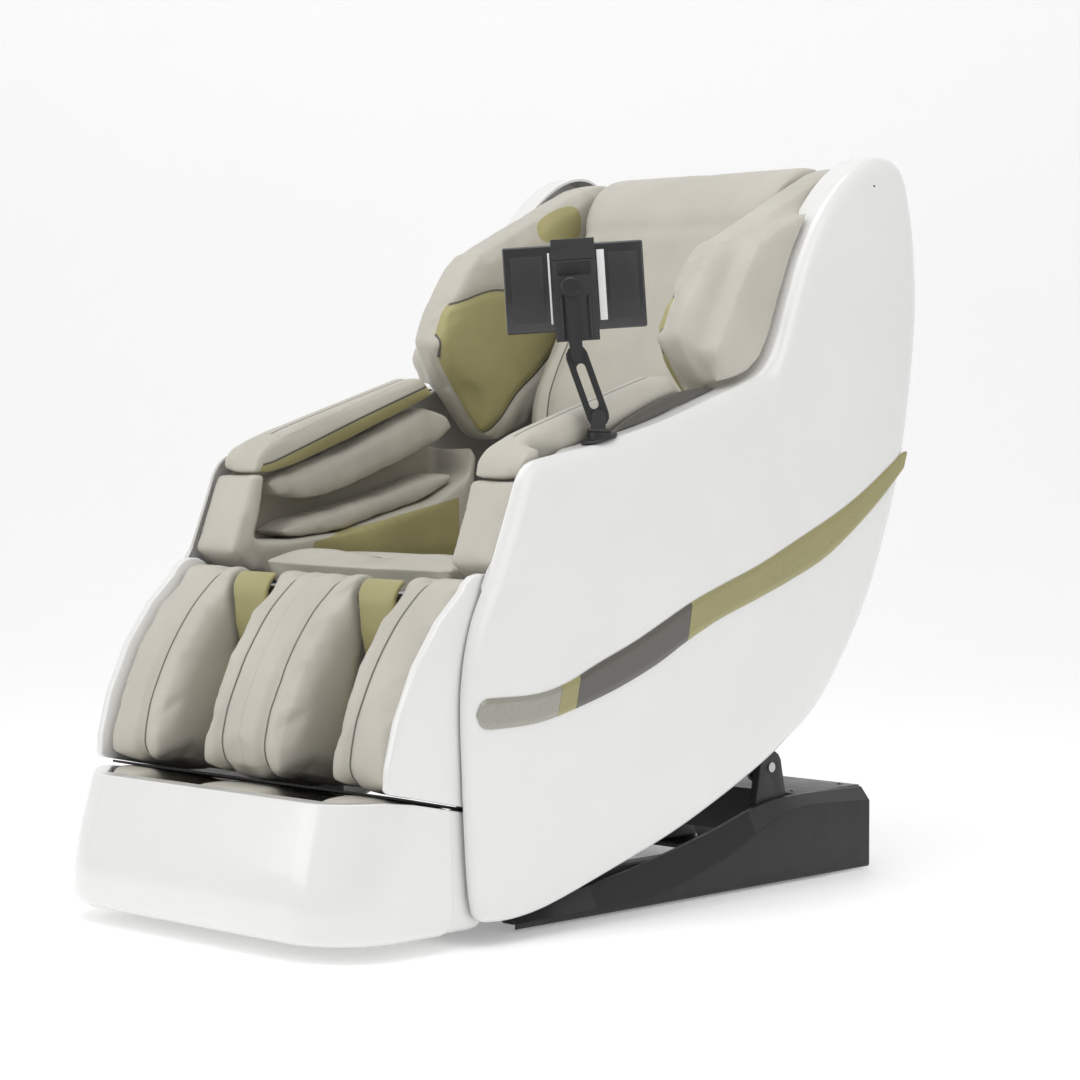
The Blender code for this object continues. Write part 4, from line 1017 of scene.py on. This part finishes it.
# ---------------------------------------------------------------- small repeated parts
def scatter_group():
    """Places one small item on every point, turned to that point's own direction."""
    group = bpy.data.node_groups.new("place_items", "GeometryNodeTree")
    face = group.interface
    face.new_socket(name="Geometry", in_out="INPUT", socket_type="NodeSocketGeometry")
    face.new_socket(name="Item", in_out="INPUT", socket_type="NodeSocketObject")
    face.new_socket(name="Item Scale", in_out="INPUT", socket_type="NodeSocketFloat")
    face.new_socket(name="Item Material", in_out="INPUT", socket_type="NodeSocketMaterial")
    face.new_socket(name="Geometry", in_out="OUTPUT", socket_type="NodeSocketGeometry")
    nodes, links = group.nodes, group.links
    start = nodes.new("NodeGroupInput")
    end = nodes.new("NodeGroupOutput")
    item = nodes.new("GeometryNodeObjectInfo")
    aim = nodes.new("GeometryNodeInputNamedAttribute")
    aim.data_type = "FLOAT_VECTOR"
    aim.inputs["Name"].default_value = "aim"
    along = nodes.new("GeometryNodeInputNamedAttribute")
    along.data_type = "FLOAT_VECTOR"
    along.inputs["Name"].default_value = "along"
    turn = nodes.new("FunctionNodeAlignRotationToVector")
    turn.axis = "Z"
    second = nodes.new("FunctionNodeAlignRotationToVector")
    second.axis = "X"
    second.pivot_axis = "Z"
    put = nodes.new("GeometryNodeInstanceOnPoints")
    real = nodes.new("GeometryNodeRealizeInstances")
    paint = nodes.new("GeometryNodeSetMaterial")
    links.new(start.outputs["Item"], item.inputs["Object"])
    links.new(start.outputs["Geometry"], put.inputs["Points"])
    links.new(item.outputs["Geometry"], put.inputs["Instance"])
    links.new(aim.outputs["Attribute"], turn.inputs["Vector"])
    links.new(turn.outputs["Rotation"], second.inputs["Rotation"])
    links.new(along.outputs["Attribute"], second.inputs["Vector"])
    links.new(second.outputs["Rotation"], put.inputs["Rotation"])
    links.new(start.outputs["Item Scale"], put.inputs["Scale"])
    links.new(put.outputs["Instances"], real.inputs["Geometry"])
    links.new(real.outputs["Geometry"], paint.inputs["Geometry"])
    links.new(start.outputs["Item Material"], paint.inputs["Material"])
    links.new(paint.outputs["Geometry"], end.inputs["Geometry"])
    return group


SCATTER = scatter_group()


def scattered(name, spots, item, scale, mat, body, slot):
    """spots: (point, direction out of the surface, direction along it)."""
    mesh = bpy.data.meshes.new(name)
    mesh.from_pydata([tuple(spot[0]) for spot in spots], [], [])
    for k, key in ((1, "aim"), (2, "along")):
        layer = mesh.attributes.new(key, "FLOAT_VECTOR", "POINT")
        layer.data.foreach_set("vector", [c for spot in spots for c in spot[k]])
    obj = bpy.data.objects.new(name, mesh)
    bpy.context.scene.collection.objects.link(obj)
    mod = obj.modifiers.new("items", "NODES")
    mod.node_group = SCATTER
    sockets = {s.name: s.identifier for s in SCATTER.interface.items_tree if s.in_out == "INPUT"}
    mod[sockets["Item"]] = item
    mod[sockets["Item Scale"]] = scale
    mod[sockets["Item Material"]] = mat
    bake(obj)
    obj.data.shade_smooth()
    obj.data.set_sharp_from_angle(angle=math.radians(40))
    finish(obj, body, slot=slot)
    return obj


def screw_item():
    """A pan head, 2 units across, with a round recess, on the plane z = 0."""
    bm = turned([(-0.3, 0.0), (-0.3, 1.0), (0.12, 1.0), (0.34, 0.82), (0.42, 0.5), (0.44, 0.42),
                 (0.14, 0.36), (0.12, 0.0)], "Z", 16)
    return to_object("screw_item", bm, DARK)


def slot_item():
    """A rounded louvre, 2 units long, on the plane z = 0."""
    outline = arc((0.86, 0), 0.14, -90, 90, 5) + arc((-0.86, 0), 0.14, 90, 270, 5)
    bm = bmesh.new()
    loft(bm, [[(x, y, -0.05) for x, y in outline], [(x, y, 0.05) for x, y in outline]])
    return to_object("slot_item", bm, RUBBER)


def build_small_parts():
    items = {"screw": screw_item(), "slot": slot_item()}
    east, north, up = (1, 0, 0), (0, 1, 0), (0, 0, 1)
    rear = [((sign * x, 0.6000, 0.124), north, east) for sign in (1, -1) for x in (0.08, 0.235)]
    top = [((sign * 0.235, y, 0.1370), up, east) for sign in (1, -1) for y in (0.455, 0.580)]
    scattered("housing_screws", rear + top, items["screw"], 0.0035, STEEL_PAINT, "base", "frame_steel")
    vents = [((-0.130, 0.6000, 0.082 + 0.007 * k), north, east) for k in range(5)]
    scattered("housing_vents", vents, items["slot"], 0.045, RUBBER, "base", "rubber")
    inlet = [((x, 0.6140, 0.097), north, east) for x in (0.0640, 0.1080, 0.1560)]
    scattered("inlet_screws", inlet, items["screw"], 0.0020, STEEL_PAINT, "base", "frame_steel")
    back = []
    for k in range(9):
        z = 0.800 + 0.018 * k
        y = 0.5955 + 0.0145 * (z - 0.75) / 0.14 if z < 0.89 else 0.6110
        back.append(((0.0, y, z), (0, 1, -0.08), east))
    scattered("back_vents", back, items["slot"], 0.060, RUBBER, "cocoon", "rubber")
    clamp = []
    for u_off, z_off in ((-0.022, 0.028), (0.022, 0.028)):
        u, z = HEAD_HINGE[0] + TABLET_SHIFT + u_off, HEAD_HINGE[1] + z_off
        spot = Matrix.Rotation(HOLDER_TURN, 3, "Z") @ Vector((-0.0058, u, z))
        out = Matrix.Rotation(HOLDER_TURN, 3, "Z") @ Vector((1, 0, 0))
        clamp.append(((spot.x + HOLDER[0], spot.y + HOLDER[1], spot.z), tuple(out), up))
    scattered("clamp_screws", clamp, items["screw"], 0.0022, STEEL_PAINT, "holder_head", "frame_steel")
    for item in items.values():
        mesh = item.data
        bpy.data.objects.remove(item, do_unlink=True)
        bpy.data.meshes.remove(mesh)


# ---------------------------------------------------------------- room and camera
FLOOR_GLOW = 0.24
ROOM_LIGHT = 0.50
FLOOR_HALF = 12.0                # half width of the floor sheet
WALL_START = 3.0                 # where the floor begins to curve up
WALL_RADIUS = 2.2
LENS = 98.37
VIEW_AIM = (0.0, 0.109, 0.55)
VIEW_TURN = 44.0                 # degrees from the front towards the sitter's left
VIEW_RISE = 2.6
VIEW_REACH = 4.7


def build_room():
    mat, tree, shader = new_material("studio_floor", (0.93, 0.93, 0.93), 0.6)
    shader.inputs["Emission Color"].default_value = (1.0, 1.0, 1.0, 1.0)
    shader.inputs["Emission Strength"].default_value = FLOOR_GLOW
    tone = mix_colour(tree, spread(tree, noise(tree, 1.5), 0.0, 1.0), (0.925, 0.925, 0.925),
                      (0.935, 0.935, 0.935))
    tree.links.new(tone, shader.inputs["Base Color"])
    bm = bmesh.new()
    rows = []
    angles = [k * math.pi / 24 for k in range(1, 13)]
    curve = [(WALL_START + WALL_RADIUS * math.sin(a), WALL_RADIUS - WALL_RADIUS * math.cos(a))
             for a in angles]
    for y, z in [(-9.0, 0.0), (WALL_START, 0.0)] + curve + [(WALL_START + WALL_RADIUS, 9.0)]:
        rows.append([bm.verts.new((x, y, z - 0.0005)) for x in (-FLOOR_HALF, FLOOR_HALF)])
    for a, b in zip(rows, rows[1:]):
        bm.faces.new((a[0], a[1], b[1], b[0]))
    turn = Matrix.Rotation(math.radians(VIEW_TURN), 3, "Z")
    bmesh.ops.rotate(bm, cent=(0, 0, 0), matrix=turn, verts=bm.verts)
    floor = to_object("studio_floor", bm, mat)

    world = bpy.data.worlds.new("studio")
    bpy.context.scene.world = world
    world.use_nodes = True
    world.node_tree.nodes["Background"].inputs["Color"].default_value = (1.0, 1.0, 1.0, 1.0)
    world.node_tree.nodes["Background"].inputs["Strength"].default_value = ROOM_LIGHT
    bpy.context.scene.view_settings.view_transform = "Standard"

    def area(name, spot, target, size, power):
        data = bpy.data.lights.new(name, "AREA")
        data.shape = "RECTANGLE"
        data.size, data.size_y = size
        data.energy = power
        lamp = bpy.data.objects.new(name, data)
        lamp.location = spot
        lamp.rotation_euler = (Vector(target) - Vector(spot)).to_track_quat("-Z", "Y").to_euler()
        bpy.context.scene.collection.objects.link(lamp)

    area("overhead_softbox", (0.6, -0.9, 3.4), (0, 0, 0.4), (3.2, 3.2), 58)
    area("left_softbox", (-1.6, -3.2, 1.7), (0, 0, 0.6), (2.0, 2.2), 24)
    area("right_softbox", (3.6, 0.2, 1.9), (0, 0.1, 0.6), (2.2, 2.4), 18)

    data = bpy.data.cameras.new("camera")
    data.lens = LENS
    data.sensor_width = 36.0
    data.clip_end = 60
    camera = bpy.data.objects.new("camera", data)
    target = Vector(VIEW_AIM)
    azimuth, elevation = math.radians(VIEW_TURN), math.radians(VIEW_RISE)
    back = Vector((math.sin(azimuth) * math.cos(elevation), -math.cos(azimuth) * math.cos(elevation),
                   math.sin(elevation)))
    camera.location = target + back * VIEW_REACH
    camera.rotation_euler = (-back).to_track_quat("-Z", "Y").to_euler()
    bpy.context.scene.collection.objects.link(camera)
    bpy.context.scene.camera = camera


build_room()
build_shell()
build_bands()
build_arms()
build_wings()
build_side_plates()
build_seat()
build_leg_rest()
build_foot_unit()
build_base()
build_holder()
build_small_parts()
